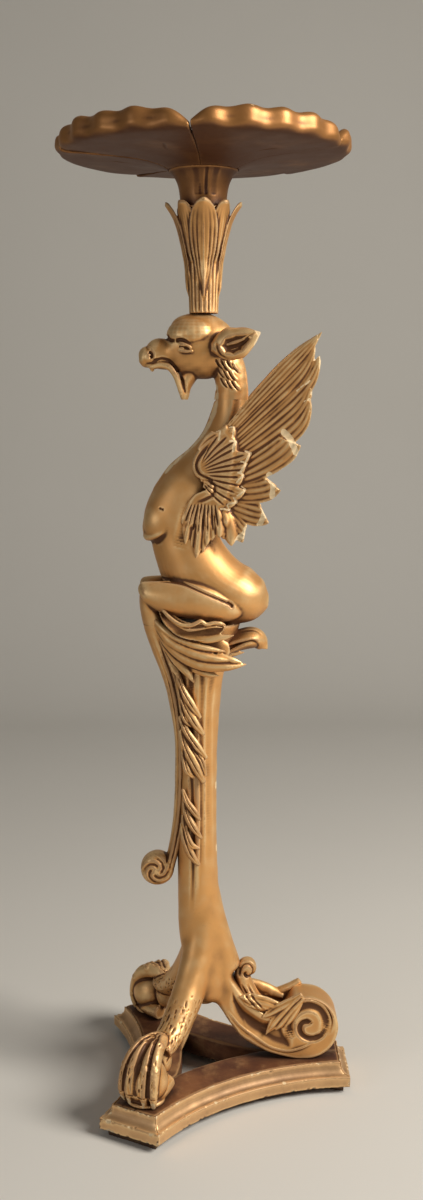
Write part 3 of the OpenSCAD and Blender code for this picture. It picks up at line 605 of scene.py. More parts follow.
def aged_gilding_group():
    """Gold leaf over red bole and white gesso, rubbed on its ridges; brown in its hollows, partly old patina
    and partly painted shade, with painted shade in corners and on faces that look down.
    """
    name = "aged gilding"
    if name in bpy.data.node_groups:
        return bpy.data.node_groups[name]
    colour, number = "NodeSocketColor", "NodeSocketFloat"
    nodes, given, out = group_with(name, [
        ("Gold", colour, (0.8, 0.5, 0.2, 1)), ("Burnished", colour, (0.9, 0.7, 0.4, 1)),
        ("Tone and painted shade", colour, (0.1, 0.05, 0.02, 1)), ("Bole", colour, (0.3, 0.1, 0.04, 1)),
        ("Gesso", colour, (0.8, 0.7, 0.5, 1)), ("Wear", number, 0.5), ("Tone and shade amount", number, 0.5),
        ("Chips", number, 0.5),
    ], [("Color", colour), ("Roughness", number), ("Metallic", number), ("Height", number)])
    place = nodes.add("ShaderNodeTexCoord").outputs["Object"]
    relief, hollow, chip, under = (nodes.attribute(a) for a in ("relief", "hollow", "chip", "under"))
    cloud = nodes.noise(place, 16.0, 4.0)
    patch = nodes.noise(place, 55.0, 4.0, 0.6)
    speck = nodes.noise(place, 260.0, 3.0, 0.65)

    # Brown in hollows and fine grooves, partly old patina and partly painted shade; painted shade in corners
    # and under ledges, by ambient occlusion, and on faces that look down
    tone_and_shade_amount = nodes.plus(
        nodes.times(hollow, -0.6), 0.02, nodes.times(relief, -3.0), nodes.ramp(nodes.openness(), 0.92, 0.30),
        nodes.times(under, 0.55), nodes.centred(cloud, 1.0))
    tone_and_shade = nodes.ramp(nodes.times(tone_and_shade_amount, given["Tone and shade amount"]), -0.12, 0.70)

    # Ridges are rubbed bright, less so on faces that look down, which keeps those in painted shade
    proud = nodes.plus(nodes.times(relief, 2.6), nodes.times(hollow, 0.3), nodes.centred(patch, 0.7),
                       nodes.times(under, -0.4))
    rubbed = nodes.ramp(proud, 0.05, 0.7)

    mottle = nodes.times(nodes.ramp(patch, 0.35, 0.72), 0.35)
    base = nodes.mix(mottle, given["Gold"], nodes.mix(0.4, given["Gold"], given["Bole"]))
    base = nodes.mix(nodes.times(rubbed, 0.85), base, given["Burnished"])
    base = nodes.mix(nodes.times(tone_and_shade, 0.93), base, given["Tone and painted shade"])

    # Leaf worn through to the bole, in patches and on the sharpest edges
    worn = nodes.plus(nodes.times(relief, 1.3), nodes.times(cloud, 1.1), nodes.times(speck, 0.5))
    worn = nodes.times(nodes.ramp(worn, 1.00, 1.20), given["Wear"])
    base = nodes.mix(worn, base, given["Bole"])

    # Chips down to the gesso, on edges and where the carving has marked them
    edge = nodes.times(nodes.ramp(relief, 0.25, 0.8), given["Chips"])
    broken = nodes.plus(nodes.times(chip, 0.85), nodes.times(edge, 0.5), nodes.centred(patch, 1.1),
                        nodes.centred(speck, 0.5))
    chipped = nodes.ramp(broken, 0.46, 0.54)
    base = nodes.mix(chipped, base, given["Gesso"])

    dull = nodes.math("MAXIMUM", nodes.times(worn, 0.6), chipped)
    rough = nodes.plus(nodes.times(patch, 0.2), nodes.times(tone_and_shade, 0.16), 0.34)
    rough = nodes.math("ADD", rough, nodes.times(dull, 0.4), clamp=True)
    metal = nodes.times(nodes.times(nodes.rest(dull), 0.6), nodes.rest(nodes.times(tone_and_shade, 0.45)))
    height = nodes.plus(nodes.times(speck, 0.35), nodes.times(patch, 0.5), nodes.times(chipped, -0.8))
    for socket, value in (("Color", base), ("Roughness", rough), ("Metallic", metal), ("Height", height)):
        nodes.tree.links.new(value, out[socket])
    return nodes.tree


def new_finish(name):
    """A new material, its nodes and its shader."""
    material = bpy.data.materials.new(name)
    material.use_nodes = True
    return material, Nodes(material.node_tree), material.node_tree.nodes["Principled BSDF"]


def wired(material, shader, **sockets):
    """Links values to a shader's inputs, whose names have an underscore for a space."""
    for name, value in sockets.items():
        material.node_tree.links.new(value, shader.inputs[name.replace("_", " ")])
    return material


def gilded(name, wear=0.5, tone_and_shade_amount=0.8, chips=0.5, bump=0.35, gold=None, burnish=None):
    """A gilded finish with its own amount of wear, brown tone with painted shade, and chips."""
    if name in bpy.data.materials:
        return bpy.data.materials[name]
    colours = bpy.context.scene.stand_colours
    material, nodes, shader = new_finish(name)
    group = nodes.add("ShaderNodeGroup", node_tree=aged_gilding_group())
    for socket, value in (
        ("Gold", rgba(gold or colours.gold)), ("Burnished", rgba(burnish or colours.burnish)),
        ("Tone and painted shade", rgba(colours.shade)), ("Bole", rgba(colours.bole)), ("Gesso", rgba(colours.gesso)),
        ("Wear", wear), ("Tone and shade amount", tone_and_shade_amount), ("Chips", chips),
    ):
        group.inputs[socket].default_value = value
    shader.inputs["Coat Weight"].default_value = 0.06
    shader.inputs["Coat Roughness"].default_value = 0.25
    given = group.outputs
    return wired(material, shader, Base_Color=given["Color"], Roughness=given["Roughness"],
                 Metallic=given["Metallic"], Normal=nodes.bumped(bump, given["Height"]))


WOOD_ROUGHNESS = 0.6


def worn_wood(name, pale, dark, grain, ochre=None):
    """Old wood with grain, rubbed scratches, painted shade in its corners and, where ochre is given, stains
    of old ground.
    """
    if name in bpy.data.materials:
        return bpy.data.materials[name]
    material, nodes, shader = new_finish(name)
    place = nodes.add("ShaderNodeTexCoord").outputs["Object"]
    streak = nodes.noise(place, 30.0, 5.0, 0.62, grain)
    cloud = nodes.noise(place, 13.0, 5.0, 0.62)
    grime = nodes.noise(place, 42.0, 5.0, 0.7)
    drift = nodes.add("ShaderNodeTexNoise", {"Vector": place, "Scale": 9.0}).outputs["Color"]
    sway = nodes.add("ShaderNodeVectorMath", {0: drift, 1: (0.05, 0.05, 0.05)}, operation="MULTIPLY")
    bent = nodes.add("ShaderNodeVectorMath", {0: place, 1: sway.outputs[0]}, operation="ADD")
    scratch = nodes.noise(bent.outputs[0], 120.0, 3.0, 0.6, (0.5, 0.12, 1.0))
    base = nodes.mix(nodes.ramp(streak, 0.32, 0.68), rgba(pale), rgba(dark))
    base = nodes.mix(nodes.times(nodes.ramp(cloud, 0.42, 0.66), 0.65), base, rgba(dark))
    if ochre:
        stain = nodes.plus(nodes.times(grime, 0.7), nodes.times(scratch, 0.3))
        base = nodes.mix(nodes.times(nodes.ramp(stain, 0.48, 0.70), 0.5), base, rgba(ochre))
    rubbed = nodes.ramp(nodes.attribute("relief"), 0.1, 0.5)
    base = nodes.mix(nodes.times(rubbed, 0.7), base, rgba(ochre or pale))
    # Painted shade: darker in corners, by ambient occlusion
    painted_corner_shade = nodes.ramp(nodes.openness(), 0.9, 0.3)
    base = nodes.mix(nodes.times(painted_corner_shade, 0.7), base, rgba([c * 0.25 for c in dark]))
    rough = nodes.plus(nodes.times(cloud, 0.3), WOOD_ROUGHNESS - 0.15)
    height = nodes.plus(streak, nodes.times(scratch, 0.5))
    return wired(material, shader, Base_Color=base, Roughness=rough, Normal=nodes.bumped(0.5, height))


def dull_steel():
    name = "screw steel"
    if name in bpy.data.materials:
        return bpy.data.materials[name]
    material, nodes, shader = new_finish(name)
    place = nodes.add("ShaderNodeTexCoord").outputs["Object"]
    rust = nodes.ramp(nodes.noise(place, 300.0, 4.0), 0.45, 0.7)
    base = nodes.mix(rust, (0.35, 0.34, 0.32, 1), (0.16, 0.07, 0.03, 1))
    rough = nodes.plus(nodes.times(rust, 0.4), 0.35)
    return wired(material, shader, Base_Color=base, Roughness=rough, Metallic=nodes.rest(rust))


def carved_gilt():
    return gilded("carved gilt", wear=0.45, tone_and_shade_amount=0.85, chips=0.35)


def feather_gilt():
    return gilded("feather gilt", wear=0.35, tone_and_shade_amount=1.0, chips=0.9, gold=(0.72, 0.36, 0.12))


def dish_gilt():
    # Darker gold and burnish and heavier brown tone than the rest of the stand: painted shade on the dish's
    # rim and underside
    return gilded("dish gilt", wear=0.45, tone_and_shade_amount=1.2, chips=0.2, gold=(0.44, 0.20, 0.06),
                  burnish=(0.62, 0.33, 0.12))


def moulding_gilt():
    return gilded("moulding gilt", wear=0.45, tone_and_shade_amount=0.6, chips=0.95, gold=(0.84, 0.52, 0.25))


# Dish, its neck, the calyx and the stem

FLOOR_R = 38.0
TRUMPET_Z = DISH_Z - 15.0
STEM_TOP_R = 18.6
STEM_FLUTES = 20
FLUTE_DEPTH = 1.6
LEAF_CROWN = 3.4
PETALS = 5
SCALLOPS = 5
STEPS_PER_SCALLOP = 18
CHECKED_PETALS = (1, 2, 5)
# Angle of the cleft after the first petal and half the width of a cleft, in degrees
FIRST_CLEFT = 265.0
CLEFT_TURN = 0.14
# Radius of the trumpet's foot, and the angle of its opened glue line
NECK_R = 25.4
GLUE_LINE = -84


def petal(index):
    """One petal of the dish: a thin leaf of wood whose rim rolls over in five soft scallops."""
    span = 360.0 / PETALS
    start = FIRST_CLEFT - span * index
    steps, r, rim = STEPS_PER_SCALLOP * SCALLOPS, DISH_R - 0.6, RIM_Z - DISH_Z
    rng = np.random.default_rng(index)
    lobe_size = rng.uniform(0.7, 1.0, SCALLOPS)
    rings = []
    for i in range(steps + 1):
        t = 2 * i / steps - 1
        angle = math.radians(start + CLEFT_TURN + (span - 2 * CLEFT_TURN) * i / steps)
        phase = SCALLOPS * i / steps
        lobe = math.sin(math.pi * phase) ** 2 * lobe_size[min(int(phase), SCALLOPS - 1)]
        h = (rim - 1.0) * (1 - 0.62 * abs(t) ** 6) * (0.90 + 0.10 * lobe)
        out = 4.6 * (1 - lobe)
        low = [(FLOOR_R, TRUMPET_Z - DISH_Z), (43, -11.9), (50, -9.2), (60, -6.6), (74, -4.4), (92, -2.8),
               (114, -1.5), (132, -0.6), (147, 0.2), (154, 1.4), (159 - out * 0.5, 4.0),
               (r - out * 0.9, 8.0), (r - out, min(12.0, h * 0.55)), (r - 0.3 - out, h * 0.70),
               (160 - out, h * 0.86), (157 - out * 0.9, h * 0.97), (153.5 - out * 0.7, h)]
        up = [
            (150 - out * 0.4, h * 0.93), (148 - out * 0.2, h * 0.80), (147.6, h * 0.62), (148, h * 0.45 + 2),
            (146, min(9.5, h * 0.5 + 3)), (141, 7.4), (132, 6.6), (112, 6.2), (90, 5.8), (68, 5.0), (52, 4.2),
            (FLOOR_R, 7 - FLOOR_DROP),
        ]
        overlap = 1.6 * max(0.0, -t) ** 6 - 1.2 * max(0.0, t) ** 8
        section = fair([*low, *up], 3)
        rings.append([
            (p[0] * math.cos(angle), p[0] * math.sin(angle), DISH_Z + p[1] + overlap * (p[0] / r) ** 2)
            for p in section
        ])
    carving = Carving(fused([loft(rings)], 1.25, 2))
    middle = math.radians(start + span / 2)

    def on_petal(radius, turn, z):
        a = middle + math.radians(turn)
        return (radius * math.cos(a), radius * math.sin(a), z)

    # Checks in the wood
    if index in CHECKED_PETALS:
        check = [on_petal(60, 10, DISH_Z - 3), on_petal(82, 13, DISH_Z - 2), on_petal(104, 18, DISH_Z - 1.3)]
        carving.stroke(check, 1.8, 1.6, sharp=1.0)
    for turn, radius in ((-14, 157), (9, 158), (24, 155)):
        edge = on_petal(radius, turn, RIM_Z - 2)
        carving.stroke([edge, on_petal(radius, turn + 1.2, RIM_Z - 3)], 2.2, 0.4, ends=(0, 0), chip=0.6)
    carving.wobble(bpy.context.scene.stand_sizes.hand_wobble * 0.9, 44.0, index + 11)
    publish(f"petal_{index}", carving.finished(4, 30, 0.15), dish_gilt(), "dish_gilt", f"petal_{index}")


def dish_neck():
    """The trumpet under the dish and the round floor in its middle."""
    r = NECK_R
    under = [(r - 2, CALYX_Z - 24), (r, CALYX_Z - 14), (r - 0.2, CALYX_Z - 2), (r + 0.5, CALYX_Z + 6),
             (r + 1.6, CALYX_Z + 13), (r + 3.4, CALYX_Z + 19.5), (r + 6.0, CALYX_Z + 25),
             (r + 9.2, CALYX_Z + 29.4), (FLOOR_R - 0.1, TRUMPET_Z)]
    top = [(FLOOR_R - 0.1, DISH_Z + 3), (FLOOR_R - 6, DISH_Z + 3.2), (20, DISH_Z + 2.6), (2, DISH_Z + 2.4)]
    section = np.concatenate([fair(under, 6), fair(top, 4)])
    angles = np.arange(120) * 2 * np.pi / 120
    rings = [[(across * math.cos(a), across * math.sin(a), z) for a in angles] for across, z in section]
    carving = Carving(fused([loft(rings)], 1.0, 1))
    # The glue line that has opened down the front, and gouged seams
    for turn, wide, deep in ((GLUE_LINE, 1.0, 1.8), (-66, 3.4, 0.4), (-104, 3.4, 0.4), (35, 1.4, 1.2),
                             (150, 1.4, 1.0)):
        a = math.radians(turn)
        seam = [(r * k * math.cos(a), r * k * math.sin(a), z) for k, z in
                ((1.0, CALYX_Z + 4), (1.08, CALYX_Z + 15), (1.24, CALYX_Z + 25), (1.46, TRUMPET_Z - 1))]
        carving.stroke(seam, wide + 1.0, deep, ends=(0.05, 0.1), sharp=1.0)
    # Repaired patch beside the glue line
    for z in (6, 9, 12, 15):
        a = math.radians(GLUE_LINE - 8)
        carving.stroke([(r * math.cos(a - 0.1), r * math.sin(a - 0.1), CALYX_Z + z),
                        (r * math.cos(a + 0.06), r * math.sin(a + 0.06), CALYX_Z + z)], 2.4, 0.6, ends=(0, 0))
    carving.wobble(0.35, 26.0, 5)
    publish("dish_neck", carving.finished(4, 40, 0.3), dish_gilt(), "dish_gilt", "dish_neck")


def fluted_rings(rows, flutes, depth, per_flute=12):
    """Rings of a fluted shaft through rows of radius, height and share of the flutes' depth."""
    a = np.arange(flutes * per_flute) * 2 * np.pi / (flutes * per_flute)
    groove = 1 - np.abs(np.sin(flutes * a / 2)) ** 0.7
    rings = []
    for radius, z, share in rows:
        r = radius - depth * share * groove
        rings.append(np.stack([r * np.cos(a), r * np.sin(a), np.full(len(a), z)], axis=1))
    return rings


def stem_and_calyx():
    """The fluted stem on the crown of the head and the cup of pointed leaves that it opens into,
    carved in one and parted where the calyx begins."""
    base = STEM_TOP_Z
    tall = CALYX_Z - base
    core = [(16.4, CROWN_Z - CROWN_SINK, 1), (16.6, CROWN_Z + 8, 1), (17.4, CROWN_Z + 28, 1),
            (STEM_TOP_R, base, 0.9)]
    core += [(r, base + tall * share, deep) for r, share, deep in
             ((21.8, 0.25, 0.6), (25.6, 0.5, 0.3), (28.0, 0.7, 0.0), (29.0, 0.86, 0.0), (28.4, 0.9, 0.0))]
    parts = [loft(fluted_rings(fair(core, 10), STEM_FLUTES, FLUTE_DEPTH))]
    feet = [(15.4, CROWN_Z + 12, 1.0), (15.8, CROWN_Z + 26, 5.0), (16.8, CROWN_Z + 40, 8.6)]
    outer = feet + [(r, base + tall * share, half) for r, share, half in (
        (18.0, 0.02, 11.0), (19.8, 0.15, 13.0), (21.8, 0.31, 14.6), (24.8, 0.50, 15.6), (28.6, 0.68, 15.2),
        (33.0, 0.82, 12.8), (37.4, 0.925, 8.4), (40.4, 0.98, 3.8), (42.3, 1.0, 0.6))]
    inner = [(r, base + tall * share, half) for r, share, half in (
        (17.0, 0.0, 3.0), (19.6, 0.20, 6.0), (23.6, 0.45, 10.0), (27.8, 0.72, 11.6), (31.0, 0.89, 9.6),
        (34.0, 0.965, 5.6), (36.4, 0.995, 0.6))]
    for blade, offset, thick in ((outer, 0.0, 4.0), (inner, 45.0, 3.4)):
        for k in range(4):
            a = math.radians(90 * k + offset)
            away = np.array([math.cos(a), math.sin(a), 0.3])
            path = [(r * math.cos(a), r * math.sin(a), z, half) for r, z, half in blade]
            parts.append(leaf(path, away, ribs=1, rib=0.3, crown=LEAF_CROWN, thick=thick, bent=1.0,
                              across=31))
    carving = Carving(fused(parts, 0.75, 2))
    # Long grooves that run up each leaf from its foot, and its raised middle
    for k in range(8):
        a = math.radians(45 * k)
        blade = outer if k % 2 == 0 else inner
        for off in (-0.75, -0.45, 0, 0.45, 0.75):
            vein = []
            for r, z, half in blade[:-2]:
                x = half * off
                face = r + LEAF_CROWN * (1 - off ** 2) * min(half / 5.0, 1.0) * 0.8
                vein.append((face * math.cos(a) - x * math.sin(a), face * math.sin(a) + x * math.cos(a), z))
            carving.stroke(vein, 2.0, 0.9 if off else -0.6, ends=(0.15, 0.6 if off else 0.3))
    for k in range(4):
        a = math.radians(90 * k)
        tip = (41.5 * math.cos(a), 41.5 * math.sin(a), CALYX_Z - 1.5)
        carving.stroke([tip, (39 * math.cos(a), 39 * math.sin(a), CALYX_Z - 2.5)], 2.4, 0.2, ends=(0, 0),
                       chip=0.7)
    carving.wobble(0.18, 16.0, 9)
    whole = carving.finished(6, 80)
    for name, facing in (("stem", 1), ("calyx", -1)):
        part = kept_part(whole, [((0, 0, base), (0, 0, facing))])
        publish(name, part, carved_gilt(), "carved_gilt", name)
    bpy.data.meshes.remove(whole)


# Beast

# The main forms: rows of x, height above the seat, half thickness, half width and lean
TORSO = [
    (73, 25, 7, 10, 84), (62, 25, 23, 26, 74), (47, 27, 31, 36, 64), (29, 33, 38, 40, 50),
    (10, 44, 42, 40, 32), (-6, 61, 43, 38, 18), (-15, 80, 41, 35, 8), (-21.5, 98, 39.5, 32, 0),
    (-27, 117, 42, 32, -4), (-25, 134, 39, 31, -12), (-16, 152, 34, 30, -25), (-3, 171, 29, 27, -36),
    (12, 190, 25, 24, -38), (23, 210, 22, 21, -28),
]
NECK = [
    (23, 210, 22, 21, -28), (30, 231, 20, 19, -12), (31.5, 251, 18, 17.5, 0), (31, 270, 18, 18, 6),
    (26, 290, 19, 20, 14), (18, 306, 20, 21, 18),
]
HEAD = [
    (37, 312, 5, 6, 90), (33, 311, 16, 15, 90), (22, 310, 28, 22, 90), (6, 310.5, 35.5, 26, 90),
    (-10, 311, 36, 26.5, 90), (-25, 311, 33, 23.5, 90), (-34, 311, 27, 19.5, 90), (-38, 307, 21.5, 17, 90),
    (-42, 302.5, 17.5, 15.5, 90), (-52, 302, 16, 14.5, 90), (-61, 299.5, 12.5, 12.5, 90),
    (-68, 298, 9.5, 10.5, 90), (-72, 298, 5, 6.5, 90),
]
JAW = [
    (-21, 248, 1.5, 3, 0), (-22, 255, 5, 7, 0), (-21, 264, 6.5, 9, 0), (-18, 273, 9, 12, 0),
    (-14, 284, 13, 15, 0),
]
# The ear and the thigh of one side: the same rows with y after x
EAR = [
    (61, 42, 323, 1.5, 1, 90), (56, 41, 319, 7, 3, 90), (46, 38, 314, 15, 6, 90), (34, 34, 312, 17.5, 8, 90),
    (23, 30, 312, 17, 9, 90), (14, 26, 311, 11, 9, 90), (8, 22, 309, 6, 7, 90),
]
THIGH = [
    (44, 27, 18, 4, 5, 84), (34, 28, 20, 13, 12, 82), (16, 30, 25, 20, 15, 84), (-8, 31, 30, 22, 17, 88),
    (-32, 29, 32, 20, 17, 90), (-52, 26, 34, 17, 16, 92), (-66, 23, 37, 13, 14, 96), (-71, 22, 39, 9, 10, 98),
    (-74, 22, 40, 3, 4, 100),
]
# Strap below the knees, from the fork up: x, z, half thickness, share of the scroll's width, lean
STRAP = [
    (-43, 165, 7, 0.4, 0), (-37, 186, 7, 0.42, 6), (-31, 215, 8, 0.45, 2), (-27, 251, 9, 0.5, 0),
    (-26, 314, 9, 0.5, -4), (-29, 350, 10, 0.5, 8), (-36, 389, 11, 0.55, 14), (-46, 420, 12, 0.62, 20),
    (-56, 452, 13, 0.8, 20), (-62, 476, 12, 1.0, 12), (-63, 490, 11, 1.1, 4),
]
# Column, from the fork up: x, z, half thickness, half width
COLUMN = [
    (0, 0, 15, 15), (0, 8, 23, 23), (-2, 26, 27.5, 27), (-5, 50, 27.5, 26), (-7.5, 78, 25, 24.5),
    (-9, 105, 23.5, 23), (-9, 250, 23, 23), (-7, 320, 22, 23), (-6, 364, 24, 23.5), (-8, 390, 28.5, 25),
    (-9, 412, 36, 28), (-8, 434, 42, 31), (-7, 456, 48, 33),
]


def strap_rows():
    return in_middle(FORK_Z, [(x, z, t, w * SCROLL_W, lean) for x, z, t, w, lean in STRAP])


def column_rows():
    return in_middle(FORK_Z, [(x, z, t, w, 0) for x, z, t, w in COLUMN])


NECK_CUT_Z = 252.0
STRAP_POWER = 0.85


def chipped_keel(carving, places):
    """Chips along the keel of the neck."""
    rng = np.random.default_rng(21)
    for x, z in places:
        for _ in range(2):
            dx = rng.uniform(-2, 2)
            wide = rng.uniform(3.0, 4.6)
            for y in (-4.6, 4.6):
                chip = [(x + dx + 4, y, z + dx + 3.5), (x + dx + 0.5, y, z + dx - 2)]
                carving.stroke(chip, wide, 0.4, ends=(0, 0), chip=1.6)


def beast_body():
    """Breast, belly, rump and folded thighs, one flowing form as the carver left it."""
    parts = [limb(in_middle(SEAT_Z, TORSO)), limb(in_middle(SEAT_Z, NECK[:4] + [(29, 282, 18, 18, 8)])),
             limb(column_rows()[8:]), limb(strap_rows()[5:], power=STRAP_POWER)]
    for side in (LEFT, RIGHT):
        parts.append(limb(on_side(side, THIGH)))
        # Breast muscle that overhangs the belly
        parts.append(ball((-43, side * 10, SEAT_Z + 117), (26, 19, 27)))
    parts.append(ball((-50, 0, SEAT_Z + 111), (20.5, 18, 20)))
    # Lip of the breast over the belly
    parts.append(tube(on_side(RIGHT, [
        (-40, -27, 110, 2.5), (-52, -22, 103.5, 4.4), (-61, -12, 100.5, 5.2), (-64, 0, 100, 5.4),
        (-61, 12, 100.5, 5.2), (-52, 22, 103.5, 4.4), (-40, 27, 110, 2.5)]), up=(0.0, 0.02, 1.0)))
    # Keel along the front of the neck, down to the breast
    parts.append(tube(in_middle(SEAT_Z, [
        (14, 250, 3.0), (8, 230, 3.4), (0, 213, 3.6), (-15, 195, 3.8), (-37, 177, 4.0), (-55, 151, 4.4)])))
    carving = Carving(fused(parts, 1.05, 13), SEAT_Z)
    # The breast, the flank and the knees melt into the forms behind them
    x, z = carving.co[:, 0], carving.co[:, 2] - SEAT_Z
    breast = np.clip((z - 103) / 10, 0, 1) * np.clip((10 - x) / 20, 0, 1)
    flank = np.clip((x + 46) / 10, 0, 1) * np.clip((z - 62) / 10, 0, 1)
    melt = np.maximum(breast, flank) * np.clip((190 - z) / 30, 0, 1)
    carving.melt(melt * 0.5, int(46 / bpy.context.scene.stand_sizes.voxel ** 2))

    # Fold between the thigh and the flank, and the notch at its rear end
    carving.both([(-64, 54), (-50, 52.5), (-35, 51.5), (-21, 49), (-5, 42), (13, 34), (28, 27), (32, 24)],
                 1.9, 1.9, ends=(0.1, 0.02), sharp=1.0)
    carving.both([(25, 30), (30, 26), (30, 22)], 2.2, 1.6, ends=(0.1, 0.1), sharp=1.0)
    # Lower edge of the breast, which fades as it climbs
    carving.both([(-56, 93.5), (-50, 96.5), (-44, 104), (-40, 113)], 4.5, 0.8, ends=(0.1, 0.8))
    carving.both([(-49.5, 132.6), (-46, 131.4)], 1.2, 1.0, ends=(0, 0), sharp=1.0)
    # Soft valley behind the breast
    carving.both([(-16, 134), (-22, 112), (-28, 88)], 10.0, 1.4, sharp=2.0)
    # Furrow between the thighs and down the spine
    carving.stroke([(-72, 0, 40), (-74, 0, 30), (-74, 0, 12)], 5.0, 2.6, ends=(0.1, 0.1))
    carving.stroke([(-60, 0, 52), (-71, 0, 49), (-76, 0, 40)], 6.0, 4.0, ends=(0.1, 0.1))
    carving.stroke([(50, 0, 225), (42, 0, 190), (22, 0, 160), (14, 0, 120), (24, 0, 90), (50, 0, 62),
                    (70, 0, 40)], 6.0, 1.2, sharp=2.0)
    # Muscles of the neck
    carving.both([(40, 285), (36, 255), (30, 228), (14, 200)], 5.0, 0.8, sharp=2.0)
    carving.settle()
    chipped_keel(carving, [
        (11, 244), (8, 234), (3, 222), (-4, 210), (-12, 200), (-21, 191), (-31, 184), (-42, 174)])
    carving.wobble(bpy.context.scene.stand_sizes.hand_wobble, 34.0, 2)
    body = kept_part(carving.finished(5, 60), [
        ((0, 0, SEAT_Z), (0, 0, -1)), ((0, 0, SEAT_Z + NECK_CUT_Z), (0, 0, 1))])
    publish("beast_body", body, carved_gilt(), "carved_gilt", "torso", "left_thigh", "right_thigh")


def beast_head():
    """Neck top, bald brow, hooked nose, hanging jaw and laid-back ears."""
    parts = [limb(in_middle(SEAT_Z, NECK), sides=48), limb(in_middle(SEAT_Z, HEAD), sides=56),
             limb(in_middle(SEAT_Z, JAW)),
             tube(in_middle(SEAT_Z, [(15, 262, 2.6), (14, 250, 3.0), (8, 230, 3.4), (0, 213, 3.6)]))]
    # Bulb of the nose and the snout behind it
    parts.append(ball((-63, 0, SEAT_Z + 300.5), (9.6, 12.0, 10.0)))
    parts.append(ball((-50, 0, SEAT_Z + 303.5), (15, 14.5, 16)))
    for side in (LEFT, RIGHT):
        # Half of the bald crown, which overhangs the snout and the eye
        parts.append(ball((-11, side * 5, SEAT_Z + 322.5), (30.5, 23.5, 20)))
        # Wing of the nostril with its bright fold
        parts.append(ball((-60, side * 7.0, SEAT_Z + 299), (8.4, 6.6, 8.0)))
        parts.append(tube(on_side(side, [
            (-62, 8, 309.5, 1.0), (-56.4, 11.4, 306.6, 1.7), (-53.8, 12.8, 301, 1.9),
            (-56, 12.6, 295.4, 1.6), (-61, 10, 293.2, 0.9)])))
        # Small eye with its lids, and the pouch under it
        parts.append(ball((-22.5, side * 20.0, SEAT_Z + 309.6), (6.0, 5.6, 4.6)))
        parts.append(tube(on_side(side, [(-29.5, 19.5, 312.5, 1.0), (-25, 23.4, 313.8, 1.5),
                                         (-19, 25.6, 311.6, 1.5), (-14, 26.4, 307.5, 0.9)])))
        parts.append(tube(on_side(side, [(-30, 19, 307.0, 0.8), (-25.5, 23.0, 305.0, 1.3),
                                         (-19, 25.2, 304.0, 1.4), (-12.5, 26.6, 304.6, 1.0)])))
        # Lips, from the fang back and down to the chin
        parts.append(tube(on_side(side, [
            (-64, 5, 290.5, 2.0), (-57, 9.5, 288.5, 3.0), (-47, 11.5, 290.0, 3.6), (-38, 12.5, 287.5, 4.0),
            (-31.5, 12, 279.5, 3.8), (-28, 9.5, 269.5, 3.3), (-25.5, 7, 260, 2.6), (-22, 3, 251, 1.8)])))
        parts.append(ball((-57.5, side * 6, SEAT_Z + 286.2), (2.4, 2.4, 3.4)))
        parts.append(limb(on_side(side, EAR), sides=32))
    carving = Carving(fused(parts, 0.78, 5), SEAT_Z)

    # Shadowed socket over the small eye, and its slit
    carving.both([(-31, 315.4), (-26.5, 316.6), (-20.5, 315.0), (-15, 311.0)], 2.6, 2.4, ends=(0.1, 0.5),
                 sharp=1.2)
    carving.both([(-28, 309.6), (-24, 309.2), (-20, 307.8), (-16, 306.2)], 1.4, 1.8, ends=(0.1, 0.2),
                 sharp=1.0)
    # Edge of the brow over the root of the snout
    carving.both([(-41, 322), (-39.5, 318.6), (-36, 316.2), (-31.5, 316.0)], 2.4, 2.0, ends=(0.05, 0.3),
                 sharp=1.2)
    carving.stroke([(-40, -14, 318), (-42, 0, 320.5), (-40, 14, 318)], 3.0, 1.6, ends=(0.1, 0.1))
    # Comma of the nostril
    carving.both([(-61.5, 304.4), (-58.5, 303.0), (-57.4, 299.6), (-60, 297.4)], 1.7, 2.6, ends=(0.1, 0.2),
                 sharp=1.0)
    # Crease along the lip
    carving.both([(-59, 293.6), (-53, 295.2), (-45.8, 296.8), (-38.2, 294.4), (-31.6, 287.2), (-25.4, 277.0),
                  (-20, 268)], 2.0, 1.5, ends=(0.1, 0.3))
    # Hollow inside the mouth's corner, seen below the lip
    carving.both([(-24, 276), (-22, 266), (-20, 257)], 2.0, 1.2, ends=(0.2, 0.2))
    # Tufts of fur behind the jaw
    for x, z in ((13, 296), (19, 294), (25, 295), (30, 292), (15, 286), (21, 284), (27, 283), (18, 276),
                 (24, 274), (30, 273)):
        lock = [(x, z), (x + 3.0, z - 6), (x + 8.5, z - 12)]
        carving.both(lock, 1.6, 1.5, ends=(0.15, 0.45))
        ridge = [(px + 2.4, pz + 0.6) for px, pz in lock]
        carving.both(ridge, 2.0, -1.2, ends=(0.2, 0.4))
    # Bowl of the ear and its fold
    for side in (LEFT, RIGHT):
        bowl = [(17, 309), (22, 318), (34, 322), (46, 322.5), (57, 325.5), (50, 314), (42, 303),
                (32, 298.5), (22, 301)]
        carving.hollow(bowl, 5.0, 6.0, side, 20.0)
        carving.stroke([(21, 310), (32, 313), (44, 317), (57, 324)], 2.4, -2.0, side=side)
        carving.stroke([(21, 306.5), (30, 308), (40, 311), (50, 316.5)], 2.2, 1.6, side=side)
        carving.stroke([(13, 314), (14.5, 306), (19, 298.5), (28, 294.5)], 2.4, 1.8, side=side)
        carving.stroke([(16.5, 312), (18, 305), (22, 300)], 2.2, -1.0, side=side)
        carving.stroke([(57, 326), (60.5, 320), (56, 311)], 3.0, 0.2, side=side, ends=(0, 0), chip=1.2)
    carving.stroke([(-71, 0, 290), (-62, 0, 288.5)], 3.0, 0.2, ends=(0, 0), chip=0.55)
    carving.settle()
    chipped_keel(carving, [(14, 266), (14, 256), (11, 245)])
    carving.wobble(0.22, 14.0, 4)
    head = kept_part(carving.finished(8, 98), [((0, 0, SEAT_Z + NECK_CUT_Z), (0, 0, -1))])
    publish("beast_head", head, carved_gilt(), "carved_gilt", "neck", "head", "lower_jaw", "left_ear",
            "right_ear")


# Wings, drawn flat from the seat up and then splayed

WING_ROOT_X = -8.0
WING_ROOT_Y = 27.0
WING_SPLAY = 9.0
